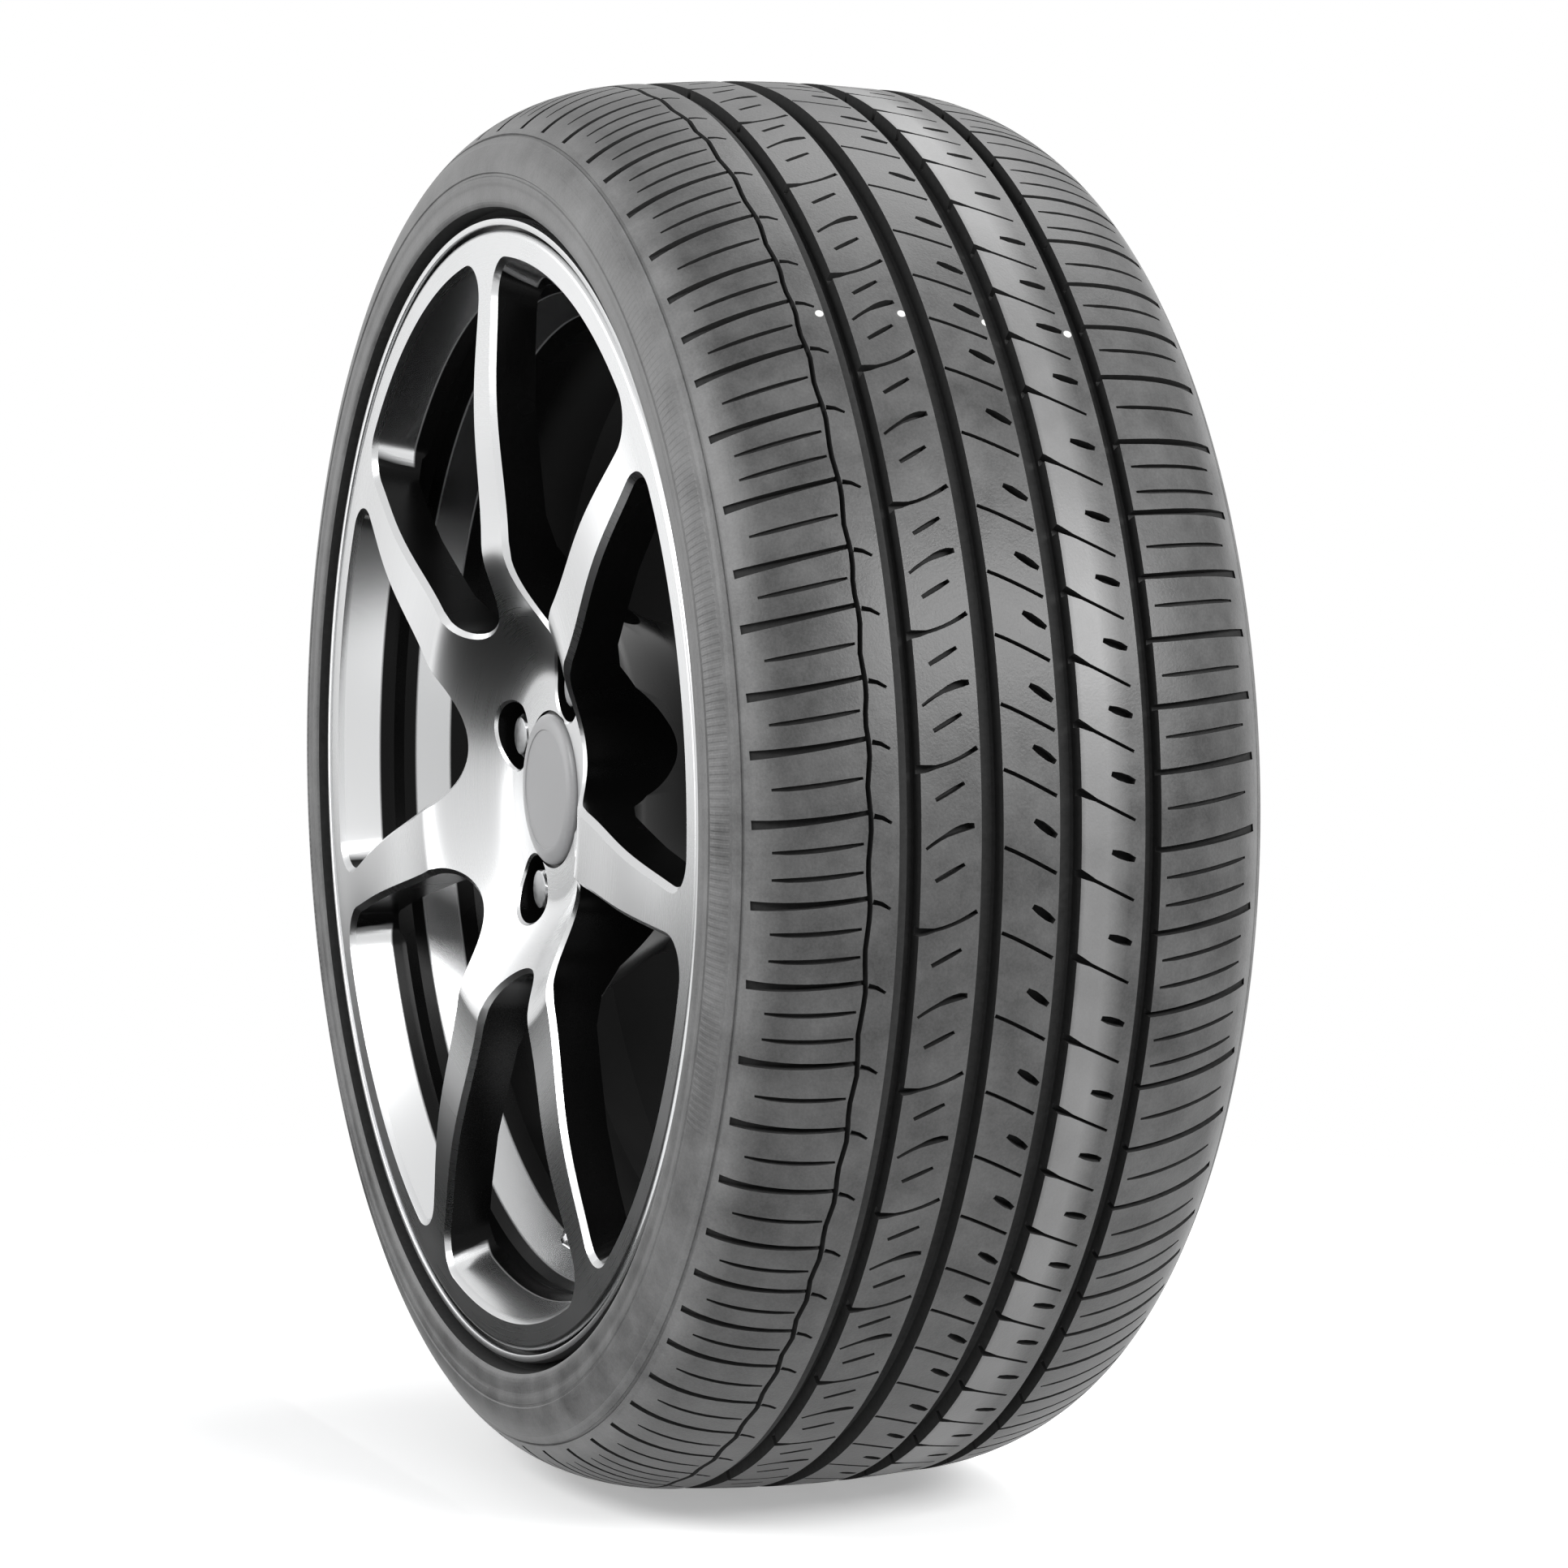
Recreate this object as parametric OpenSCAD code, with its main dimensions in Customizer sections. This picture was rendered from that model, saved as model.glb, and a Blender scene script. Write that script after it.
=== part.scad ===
// Low-profile car tyre on a seven-spoke alloy wheel.
// The axle runs along Y, with the outer face towards -Y, and Z is up.
// The origin is the centre of the rim, midway between its two flanges.
// A clock angle is seen from the outer face: 0 is up and 90 is +X.

/* [Tyre] */
// Height of the tyre's section, from the bead seats to the middle of the tread
section_h = 77.4; // [75:0.1:80]
// Bulge of each sidewall beyond the inner face of its flange
side_bulge = 17.4; // [15.5:0.1:19]
// Depth of the wide circumferential grooves
groove_depth = 7.5; // [5:0.1:8.5]
// Depth of the narrow outer groove
fine_groove_depth = 5; // [2:0.1:6]
// Rubber under the grooves at the crown
under_tread = 7.5; // [6:0.1:10]
// Thickness of the sidewall
sidewall_t = 9; // [7:0.5:11]
// Depth of the lateral slots in the shoulders
slot_depth = 5; // [2:0.1:6.5]
// Width of the lateral slots in the outer shoulder
outer_slot_w = 2.4; // [1:0.1:4]
// Width of the lateral slots in the inner shoulder
inner_slot_w = 2.2; // [1:0.1:4]
// Width of the short bold slots in the middle ribs
short_slot_w = 2.4; // [1:0.1:3.5]
// Width of the slots in the second rib
rib_slot_w = 1.8; // [1:0.1:3]
// Running gap between the tyre's beads and the rim
bead_gap = 0.3; // [0.1:0.05:0.5]

/* [Rim] */
// Radius of the bead seats
seat_r = 231; // [230:0.1:232]
// Width between the inner faces of the flanges
rim_w = 203.2; // [198:0.2:206]
// Height of a flange above the bead seat
flange_h = 17.3; // [16.5:0.1:18]
// Radius of the curl of a flange
flange_curl = 9.5; // [8.5:0.1:10]
// Reach of a flange beyond its inner face
flange_reach = 13.4; // [12:0.1:14]
// Wall of the barrel
barrel_wall = 7; // [5:0.1:9]
// Depth of the well below the bead seats
well_drop = 20; // [17:0.5:25]

/* [Face] */
// Number of spokes
spokes = 7; // [5:1:9]
// Clock angle of the first spoke
spoke_clock = -4; // [-10:0.5:10]
// Half width of a spoke at the hub end
spoke_half_w = 16; // [13:0.1:18]
// Narrowing of each side of a spoke for each millimetre outwards
spoke_taper = 0.05; // [0.02:0.005:0.07]
// Distance of the windows' outer ends inside the bead seats
window_margin = 2; // [1:0.5:7]
// Radius of the inner end of the windows from the axle
window_in_r = 80; // [77:0.5:86]
// Corner radius at the outer end of a window
window_corner_r = 14; // [8:0.5:18]
// Width of the bevel along the spokes
bevel_w = 2.4; // [1:0.1:3]
// Bow of the spokes beyond the plane of the rim face
spoke_bow = 3; // [0:0.1:4]
// Depth of the hub pad behind the rim face
hub_sink = 25; // [20:0.5:30]
// Thickness of the spokes
spoke_t = 20; // [16:0.5:24]

/* [Hub] */
// Length of the hub from its front pad to the mounting face
hub_len = 52; // [48:0.5:56]
// Radius of the mounting face
pad_r = 72; // [70:0.5:76]
// Radius of the hub bore
bore_r = 28.05; // [27:0.05:29]
// Length of the hub bore
hub_bore_len = 28; // [25:0.5:31]
// Diameter of the circle through the bolts
bolt_circle_d = 100; // [98:0.1:102]
// Number of bolts
bolts = 4; // [3:1:5]
// Clock angle of the first bolt
bolt_clock = 24; // [0:1:60]
// Radius of a bolt pocket
pocket_r = 15; // [14:0.1:15.5]
// Radius of a bolt's shank
shank_r = 6; // [5.5:0.05:6.25]
// Clearance of a bolt hole round the shank
shank_gap = 1.2; // [0.8:0.05:1.5]
// Width across the flats of a bolt head
head_flats = 17; // [16:0.5:19]
// Reach of a shank beyond the mounting face
shank_out = 26; // [20:0.5:30]
// Radius of the cap's disc
cap_r = 33; // [31.5:0.1:34]

/* [Valve] */
// Clock angle of the valve
valve_clock = 165; // [160:0.5:170]
// Radius of the valve hole in the rim
valve_hole_r = 5.75; // [5.5:0.05:6]
// Radius of the valve's cap
valve_cap_r = 4.9; // [4.7:0.1:5.5]

/* [Hidden] */
$fn = 120;

// Lengths of the tread's pitches round half of the tyre: short, medium or long
pitch_sequence = "LLMSSMLMSMSMLLLMMMSSSMMMMLLMLMMLS";
// Times the sequence runs round the tyre
sequence_turns = 2;
// Clock angle of the first pitch
first_pitch_clock = 24.5;

flange_r = seat_r + flange_h;
half_rim = rim_w / 2;
face_y = -(half_rim + flange_reach);

crown_r = seat_r + section_h;
half_section = half_rim + side_bulge;
// The sidewall is widest here
widest_r = flange_r + 16.4;
// Half the width of the tread, which spreads the tread's pattern
tread_half_w = half_section - 19;
// The crown is nearly flat to here, and the shoulder's quarter ellipse takes over
crown_half_w = 0.48 * tread_half_w;
crown_drop = 2;
shoulder_drop = crown_r - crown_drop - widest_r;
shoulder_steps = 12;
cavity_r = crown_r - groove_depth - under_tread;
cavity_flat = 0.4 * tread_half_w;
cavity_drop = cavity_r + 2.3 - widest_r;

// Circumferential grooves: place of the middle, width, depth
grooves = [
  [-0.669 * tread_half_w, 3, fine_groove_depth],
  [-0.515 * tread_half_w, 7.2, 2],
  [-0.487 * tread_half_w, 5, groove_depth],
  [-0.164 * tread_half_w, 9, groove_depth],
  [0.173 * tread_half_w, 9.4, groove_depth],
  [0.54 * tread_half_w, 7, groove_depth]
];
// Where the shoulder slots run out over the edge of the tread
outer_slot_end = -1.1 * tread_half_w;
inner_slot_end = 1.08 * tread_half_w;
// Slots inside the ribs: place of the middle, length, slant
second_rib_slot = [-0.37 * tread_half_w, 18, -20];
third_rib_slot = [0.0625 * tread_half_w, 11.5, -34];
fourth_rib_slot = [0.405 * tread_half_w, 10.4, -16];

curl_y = half_rim + flange_curl;
lip_angle = asin((flange_reach - flange_curl) / flange_curl);
heel_r = 6.5;
seat_len = 15;
seat_angle = 5;
hump_h = 1;
// A ring groove between the lip and the rounded edge of the face
ring_groove_out_r = flange_r - 3.7;
ring_groove_w = 1.8;
ring_groove_depth = 4;
face_edge_r = 2.4;

// The slope from the front bead down to the well, the well and the slope back up
slope_out_r = seat_r - 2.5;
slope_out_y = heel_r + seat_len + 7 - half_rim;
well_front_y = slope_out_y + 13.1;
well_back_y = well_front_y + 36;
well_r = seat_r - well_drop;

barrel_in_r = seat_r - 2 * barrel_wall + 2.5;
well_in_r = well_r - barrel_wall;
window_out_r = seat_r - window_margin;
spoke_root_y = face_y + 22;
dive_out_r = 108;
dive_in_r = 48;
bow_out_r = window_out_r;
pad_y = face_y + hub_sink;
// The mounting face: its distance from the middle of the rim is the wheel's offset
mount_y = pad_y + hub_len;
// The cap's bore goes on from the chamfered end of the hub bore, with a ring groove for the cap's hooks
hub_bore_end_y = mount_y - hub_bore_len;
bore_chamfer = 2;
cap_bore_r = bore_r - bore_chamfer;
hook_groove_y = hub_bore_end_y - 7.2;
hook_groove_w = 4;
hook_groove_r = cap_bore_r + 1.4;
cap_seat_y = pad_y + 1;

spoke_pitch = 360 / spokes;
side_angle = spoke_pitch / 2 + atan(spoke_taper);

// A row of points on an arc in the (radius, axial) plane
function arc(r0, y0, r, a0, a1, n) =
  [for (k = [0:n]) let (a = a0 + (a1 - a0) * k / n) [r0 + r * cos(a), y0 + r * sin(a)]];
function flipped(points) = [for (k = [len(points) - 1:-1:0]) [points[k][0], -points[k][1]]];
function smooth(t) = t * t * (3 - 2 * t);

// Outside of the tyre over the axial place y
function shoulder_sin(y) = max(0, (abs(y) - crown_half_w) / (half_section - crown_half_w));
function outer_r(y) =
  crown_r - crown_drop * pow(min(abs(y), crown_half_w) / crown_half_w, 2)
  - shoulder_drop * (1 - sqrt(1 - pow(shoulder_sin(y), 2)));

// Pitches of the tread
function pitch_units(letter) = letter == "S" ? 5 : letter == "M" ? 6 : 7;
function units_before(k) = k == 0 ? 0 : units_before(k - 1) + pitch_units(pitch_sequence[(k - 1) % len(pitch_sequence)]);
pitch_count = sequence_turns * len(pitch_sequence);
unit_angle = 360 / (sequence_turns * units_before(len(pitch_sequence)));
function pitch_clock(k) =
  first_pitch_clock + unit_angle * (units_before(k % len(pitch_sequence))
  + floor(k / len(pitch_sequence)) * units_before(len(pitch_sequence)));
function pitch_angle(k) = unit_angle * pitch_units(pitch_sequence[k % len(pitch_sequence)]);

// Turns a revolved section so that its axis is the axle
module about_axle() {
  rotate([-90, 0, 0]) children();
}

module at_clock(angle) {
  rotate([0, angle, 0]) children();
}

// Rim outline that the tyre sits on, from the lip to the hump, moved out by a gap
function bead_side(gap) = concat(
  arc(flange_r - flange_curl, -curl_y, flange_curl + gap, gap == 0 ? -lip_angle : 30, 90, 8),
  arc(seat_r + heel_r, heel_r - half_rim, heel_r - gap, 270, 180, 5),
  [[seat_r + gap - seat_len * tan(seat_angle), heel_r + seat_len - half_rim]]
);

// One side of the tyre, from the crown to the toe of the bead
function tyre_side() = concat(
  [for (k = [0:3]) let (y = -crown_half_w * k / 4) [outer_r(y), y]],
  [for (k = [0:shoulder_steps]) let (a = 90 * k / shoulder_steps)
    [crown_r - crown_drop - shoulder_drop * (1 - cos(a)), -crown_half_w - (half_section - crown_half_w) * sin(a)]],
  [[flange_r + 6, -half_section], [flange_r + 3.9, 1 - half_section], [flange_r + 3.2, 9 - half_section]],
  bead_side(bead_gap)
);

// The same side of the air space, from the bead back to the middle
function cavity_side() = concat(
  [[seat_r + 6, 20 - half_rim], [flange_r + 4, 0.6 - half_rim]],
  [for (k = [8:-1:0]) let (a = 90 * k / 8)
    [cavity_r - cavity_drop * (1 - cos(a)), -cavity_flat - (half_section - sidewall_t - cavity_flat) * sin(a)]]
);

module tyre_section() {
  half = concat(tyre_side(), cavity_side());
  polygon(concat(half, flipped(half)));
}

module groove(y, w, depth) {
  rotate_extrude() polygon([
    [outer_r(y) - depth, y - w / 2 + 0.8],
    [outer_r(y) - depth, y + w / 2 - 0.8],
    [crown_r + 1, y + w / 2 + 0.3],
    [crown_r + 1, y - w / 2 - 0.3]
  ]);
}

// A slot across the tread from y0 to y1: its floor follows the surface from depth d0 to depth d1
module tread_slot(clock, y0, y1, d0, d1, w, slant) {
  middle = (y0 + y1) / 2;
  floor_points = [for (k = [0:3]) let (t = k / 3, y = y0 + (y1 - y0) * t) [y - middle, outer_r(y) - d0 - (d1 - d0) * t]];
  at_clock(clock) translate([0, middle, 0]) rotate([0, 0, slant]) rotate([90, 0, 90])
    linear_extrude(w, center = true)
      polygon(concat(floor_points, [[y1 - middle, crown_r + 3], [y0 - middle, crown_r + 3]]));
}

module rib_slot(clock, place, w) {
  half = place[1] / 2;
  tread_slot(clock, place[0] - half, place[0] + half, slot_depth, slot_depth, w, place[2]);
}

module pitch_slots(k) {
  start = pitch_clock(k);
  pitch = pitch_angle(k);
  tread_slot(start - 0.45, outer_slot_end, grooves[0][0], 2.5, slot_depth, outer_slot_w, 7);
  tread_slot(start + 0.4 * pitch - 0.6, grooves[5][0], inner_slot_end, slot_depth, 2.5, inner_slot_w, 8);
  rib_slot(start + 0.28 * pitch - 0.5, second_rib_slot, rib_slot_w);
  rib_slot(start + 0.6, third_rib_slot, short_slot_w);
  rib_slot(start + 0.4 * pitch + 0.3, fourth_rib_slot, short_slot_w);
}

module tyre() {
  color([0.36, 0.36, 0.36]) difference() {
    about_axle() rotate_extrude() tyre_section();
    for (g = grooves) about_axle() groove(g[0], g[1], g[2]);
    for (k = [0:pitch_count - 1]) pitch_slots(k);
  }
}

// Front of the spokes, bowl and hub pad at a radius
function front_y(r) =
  r >= dive_out_r
    ? face_y - spoke_bow * (1 - cos(360 * min(1, (r - dive_out_r) / (bow_out_r - dive_out_r)))) / 2
    : face_y + hub_sink * smooth(min(1, (dive_out_r - r) / (dive_out_r - dive_in_r)));

function back_y(r) = front_y(r) + spoke_t;

// Outside of the rim, from the front lip to the back lip
function rim_outside() = concat(
  bead_side(0),
  [
    [seat_r + hump_h - seat_len * tan(seat_angle), heel_r + seat_len + 3 - half_rim],
    [slope_out_r, slope_out_y],
    [well_r, well_front_y], [well_r, well_back_y], [slope_out_r - 1, well_back_y + 26],
    [slope_out_r - 1, -slope_out_y]
  ],
  flipped(bead_side(0))
);

// Inside of the barrel and the back of the spokes, from the back lip to the hub
function rim_inside() = concat(
  [[flange_r - 4, -face_y], [seat_r + 5, half_rim + 6], [barrel_in_r + 3, half_rim - 4], [barrel_in_r, half_rim - 14],
   [barrel_in_r, well_back_y + 32], [well_in_r, well_back_y + 6], [well_in_r, well_front_y],
   [barrel_in_r, well_front_y - 26], [barrel_in_r, spoke_root_y - 0.5]],
  [for (k = [0:4]) let (r = barrel_in_r - 7.5 + (dive_out_r + 19.5 - barrel_in_r) * k / 4) [r, back_y(r)]],
  [[dive_out_r - 1, face_y + spoke_t + 4], [pad_r + 23, pad_y + 9], [pad_r + 12, pad_y + 25],
   [pad_r + 3, mount_y - 12], [pad_r, mount_y]]
);

module rim_section() {
  polygon(concat(
    rim_outside(),
    rim_inside(),
    [[bore_r, mount_y], [bore_r, hub_bore_end_y], [cap_bore_r, hub_bore_end_y - bore_chamfer],
     [cap_bore_r, hook_groove_y + hook_groove_w], [hook_groove_r, hook_groove_y + hook_groove_w],
     [hook_groove_r, hook_groove_y], [cap_bore_r, hook_groove_y],
     [cap_bore_r, cap_seat_y], [cap_r + 1.5, cap_seat_y], [cap_r + 1.5, pad_y]],
    [for (k = [0:10]) let (r = dive_in_r + (dive_out_r - dive_in_r) * k / 10) [r, front_y(r)]],
    [for (k = [1:12]) let (r = dive_out_r + (bow_out_r - dive_out_r) * k / 12) [r, front_y(r)]],
    arc(ring_groove_out_r - ring_groove_w - face_edge_r, face_y + face_edge_r, face_edge_r, 270, 360, 5),
    [[ring_groove_out_r - ring_groove_w, face_y + ring_groove_depth],
     [ring_groove_out_r, face_y + ring_groove_depth], [ring_groove_out_r, face_y + 0.6], [ring_groove_out_r + 0.6, face_y]]
  ));
}

// Outline of a window that points up, as [across, up], grown all round by g
apex_r = let (v = spoke_half_w + spoke_taper * dive_out_r)
  v / (sin(spoke_pitch / 2) + spoke_taper * cos(spoke_pitch / 2));
inner_corner_r = (window_in_r - apex_r) * sin(side_angle) / (1 - sin(side_angle));
function corner_centre(out_r) =
  let (
    p = [-window_corner_r * cos(side_angle), apex_r + window_corner_r * sin(side_angle)],
    d = [sin(side_angle), cos(side_angle)],
    s = p * d,
    t = -s + sqrt(s * s - p * p + pow(out_r - window_corner_r, 2))
  ) p + t * d;
function inner_corner(a, g) =
  [(inner_corner_r + g) * sin(a), window_in_r + inner_corner_r - (inner_corner_r + g) * cos(a)];
function outer_corner(c, a, g) = c + (window_corner_r + g) * [cos(a), sin(a)];
// The straight side has points between its ends so that the bevel follows the bowed face
function window_half(g, out_r) =
  let (
    c = corner_centre(out_r),
    turn = atan2(c[1], c[0]),
    start = inner_corner(90 - side_angle, g),
    end = outer_corner(c, -side_angle, g)
  )
  concat(
    [for (k = [0:5]) inner_corner((90 - side_angle) * k / 5, g)],
    [for (k = [1:6]) start + (end - start) * k / 7],
    [for (k = [0:6]) outer_corner(c, -side_angle + (turn + side_angle) * k / 6, g)],
    [for (k = [1:5]) let (a = (90 - turn) * (1 - k / 5)) (out_r + g) * [sin(a), cos(a)]]
  );
function window_outline(g, out_r) =
  let (half = window_half(g, out_r), n = len(half))
  concat([for (p = half) [-p[0], p[1]]], [for (k = [n - 2:-1:1]) half[k]]);

// A window with bevelled edges: rings of one outline, joined from front to back
module window_cutter() {
  edge = window_outline(bevel_w + 1, window_out_r);
  rings = [
    [for (p = edge) [p[0], face_y - 12, p[1]]],
    [for (p = edge) [p[0], front_y(norm(p)) - 1, p[1]]],
    [for (p = window_outline(0, window_out_r)) [p[0], front_y(norm(p)) + bevel_w, p[1]]],
    [for (p = window_outline(-1, barrel_in_r + 2.5)) [p[0], spoke_root_y, p[1]]],
    [for (p = window_outline(-1.5, well_in_r - 1)) [p[0], well_front_y - 8, p[1]]],
    [for (p = window_outline(-1.5, well_in_r - 1)) [p[0], well_back_y + 4, p[1]]]
  ];
  n = len(edge);
  last = len(rings) - 1;
  polyhedron(
    points = [for (ring = rings) each ring],
    faces = concat(
      [[for (k = [0:n - 1]) k], [for (k = [n - 1:-1:0]) last * n + k]],
      [for (s = [0:last - 1]) for (k = [0:n - 1]) [s * n + k, (s + 1) * n + k, (s + 1) * n + (k + 1) % n]],
      [for (s = [0:last - 1]) for (k = [0:n - 1]) [s * n + k, (s + 1) * n + (k + 1) % n, s * n + (k + 1) % n]]
    )
  );
}

// Axis of a bolt, with local Z pointing inwards from the rim's middle plane
module at_bolt(k) {
  at_clock(bolt_clock + 360 * k / bolts) translate([0, 0, bolt_circle_d / 2]) about_axle() children();
}

// The bolts' pockets leave this much of the hub under them
pocket_floor_t = 28;
pocket_floor_y = mount_y - pocket_floor_t;
cone_out_r = head_flats / 2 + 3.5;
cone_len = (cone_out_r - shank_r - shank_gap) / tan(30);

// Pocket for a bolt's head, its conical seat and the hole for the shank
module bolt_pocket() {
  rotate_extrude() polygon([
    [0, face_y - 15],
    [pocket_r, face_y - 15],
    [pocket_r, pocket_floor_y],
    [cone_out_r, pocket_floor_y],
    [shank_r + shank_gap, pocket_floor_y + cone_len],
    [shank_r + shank_gap, mount_y + 2],
    [0, mount_y + 2]
  ]);
}

// Seat of the valve in the middle of the slope between hump and well: local Z points out of the tyre
module at_valve() {
  at_clock(valve_clock)
    translate([0, (slope_out_y + well_front_y) / 2, (slope_out_r + well_r) / 2])
      rotate([180 - atan2(slope_out_r - well_r, well_front_y - slope_out_y), 0, 0])
        children();
}

// Hole for the valve, with the wall round it faced down to the thickness that the valve grips
valve_wall = 4.5;
module valve_hole() {
  translate([0, 0, -4]) cylinder(h = valve_wall + 5, r = valve_hole_r);
  translate([0, 0, valve_wall]) cylinder(h = 22, r = valve_hole_r + 5);
}

module alloy_wheel() {
  color([0.78, 0.79, 0.8]) difference() {
    about_axle() rotate_extrude() rim_section();
    for (k = [0:spokes - 1]) at_clock(spoke_clock + (k + 0.5) * spoke_pitch) window_cutter();
    for (k = [0:bolts - 1]) at_bolt(k) bolt_pocket();
    at_valve() valve_hole();
  }
}

// Cap over the hub: a disc with a bevelled rim, and a skirt cut into six sprung legs with hooks
skirt_r = cap_bore_r - 0.3;
skirt_wall = 2;
hook_r = hook_groove_r - 0.4;
hook_y = hook_groove_y + 0.2;
module centre_cap() {
  color([0.62, 0.62, 0.63]) difference() {
    about_axle() rotate_extrude() polygon([
      [0, cap_seat_y - 3.6],
      [cap_r - 7, cap_seat_y - 3.6],
      [cap_r - 6.7, cap_seat_y - 4],
      [cap_r - 2.2, cap_seat_y - 3.3],
      [cap_r, cap_seat_y - 1.6],
      [cap_r, cap_seat_y],
      [skirt_r, cap_seat_y],
      [skirt_r, hook_y],
      [hook_r, hook_y],
      [hook_r, hook_y + 1],
      [skirt_r, hook_y + 2.6],
      [skirt_r - 0.4, hook_y + 4.2],
      [skirt_r - skirt_wall, hook_y + 4.2],
      [skirt_r - skirt_wall, cap_seat_y - 1.4],
      [0, cap_seat_y - 1.4]
    ]);
    for (k = [0:2]) at_clock(60 * k) translate([-4, cap_seat_y + 5, -40]) cube([8, 40, 80]);
  }
}

// A wheel bolt with a conical seat, lying just clear of its pocket's cone
module wheel_bolt() {
  seat_y = pocket_floor_y - 0.2;
  head_y = pad_y + 1.5;
  end_y = mount_y + shank_out;
  difference() {
    union() {
      rotate_extrude() polygon([
        [0, seat_y - 3.5],
        [cone_out_r, seat_y - 3.5],
        [cone_out_r, seat_y],
        [shank_r, seat_y + (cone_out_r - shank_r) / tan(30)],
        [shank_r, end_y - 1.2],
        [shank_r - 1.2, end_y],
        [0, end_y]
      ]);
      translate([0, 0, head_y]) cylinder(h = seat_y - 3 - head_y, r = head_flats / sqrt(3), $fn = 6);
    }
    rotate_extrude() polygon([
      [head_flats / 2 - 0.4, head_y - 1],
      [head_flats, head_y - 1],
      [head_flats, head_y + 4],
      [head_flats / 2 - 0.4, head_y - 0.2]
    ]);
  }
}

module wheel_bolts() {
  color([0.62, 0.63, 0.65]) for (k = [0:bolts - 1]) at_bolt(k) wheel_bolt();
}

// Snap-in valve: a rubber foot and body moulded round a threaded brass neck
neck_r = valve_cap_r - 1.05;
neck_top = 40;
core_bore_r = 2;
module valve_stem() {
  color([0.12, 0.12, 0.12]) at_valve() rotate_extrude() polygon(concat(
    [[1.3, -4], [valve_hole_r + 3.2, -4], [valve_hole_r + 3.6, -3], [valve_hole_r + 3.6, -0.1], [valve_hole_r - 0.15, -0.1],
     [valve_hole_r - 0.15, valve_wall + 0.1], [valve_hole_r + 1.8, valve_wall + 0.1], [valve_hole_r + 1.6, valve_wall + 4],
     [neck_r + 1.6, 26], [neck_r + 1.4, 29], [neck_r, 29.6]],
    [for (k = [0:8]) each [[neck_r, 32 + 0.9 * k], [neck_r - 0.4, 32.45 + 0.9 * k]]],
    [[neck_r - 0.5, neck_top], [core_bore_r, neck_top], [core_bore_r, 20], [1.3, 20]]
  ));
}

// Core screwed into the neck, resting on the step in its bore
module valve_core() {
  color([0.75, 0.62, 0.3]) at_valve() rotate_extrude() polygon([
    [0, 20.1],
    [core_bore_r - 0.15, 20.1],
    [core_bore_r - 0.15, 37.5],
    [0.7, 37.5],
    [0.7, neck_top - 0.3],
    [0, neck_top - 0.3]
  ]);
}

module valve_cap() {
  color([0.8, 0.8, 0.82]) at_valve() rotate_extrude() polygon([
    [neck_r + 0.15, 31],
    [valve_cap_r, 31],
    [valve_cap_r, 42],
    [valve_cap_r - 1.6, 43.6],
    [0, 43.6],
    [0, neck_top + 0.2],
    [neck_r + 0.15, neck_top + 0.2]
  ]);
}

tyre();
alloy_wheel();
centre_cap();
wheel_bolts();
valve_stem();
valve_core();
valve_cap();
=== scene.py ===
import math

import bpy
import numpy as np
from mathutils import Matrix, Vector


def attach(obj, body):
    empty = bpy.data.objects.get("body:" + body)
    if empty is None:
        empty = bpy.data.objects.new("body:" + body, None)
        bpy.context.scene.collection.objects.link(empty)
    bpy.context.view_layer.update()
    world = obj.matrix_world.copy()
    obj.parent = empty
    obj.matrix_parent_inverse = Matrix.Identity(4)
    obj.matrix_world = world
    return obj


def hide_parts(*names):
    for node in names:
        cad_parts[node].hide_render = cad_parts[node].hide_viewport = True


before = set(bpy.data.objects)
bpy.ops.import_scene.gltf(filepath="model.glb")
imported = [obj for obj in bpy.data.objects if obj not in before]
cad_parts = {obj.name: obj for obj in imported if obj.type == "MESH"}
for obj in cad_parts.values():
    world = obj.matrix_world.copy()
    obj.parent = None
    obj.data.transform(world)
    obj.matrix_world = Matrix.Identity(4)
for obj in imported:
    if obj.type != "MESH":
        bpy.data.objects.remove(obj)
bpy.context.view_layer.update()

MM = 0.001
TAU = 2 * math.pi
# Turns local Z to +Y
ALONG_AXLE = Matrix.Rotation(math.radians(-90), 4, "X")

# Sizes are in mm and clock angles in degrees, as in the part's source.
# The axle runs along Y, the wheel's face looks towards -Y, and clock 0 is up and 90 is +X.

# Rim
SEAT_R = 231.0
SEAT_LEN = 15.0
SEAT_DROP = SEAT_LEN * math.tan(math.radians(5))
HEEL_R = 6.5
HALF_RIM = 101.6
SEAT_END_Y = HEEL_R + SEAT_LEN - HALF_RIM
FLANGE_R = SEAT_R + 17.3
FLANGE_CURL = 9.5
CURL_Y = HALF_RIM + FLANGE_CURL
SLOPE_OUT_R = SEAT_R - 2.5
SLOPE_OUT_Y = HEEL_R + SEAT_LEN + 7 - HALF_RIM
WELL_R = SEAT_R - 20
WELL_FRONT_Y = -60.0
WELL_BACK_Y = WELL_FRONT_Y + 36
BARREL_WALL = 7.0
WELL_IN_R = WELL_R - BARREL_WALL
BARREL_IN_R = SEAT_R - 2 * BARREL_WALL + 2.5
WHEEL_SEGMENTS = 320

# Tyre
CROWN_R = SEAT_R + 77.4
CROWN_DROP = 2.0
CROWN_HALF_W = 48.0
HALF_SECTION = HALF_RIM + 17.4
WIDEST_R = FLANGE_R + 16.4
SHOULDER_W = HALF_SECTION - CROWN_HALF_W
SHOULDER_DROP = CROWN_R - CROWN_DROP - WIDEST_R
BEAD_GAP = 0.3
TYRE_SEGMENTS = 330

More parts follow.
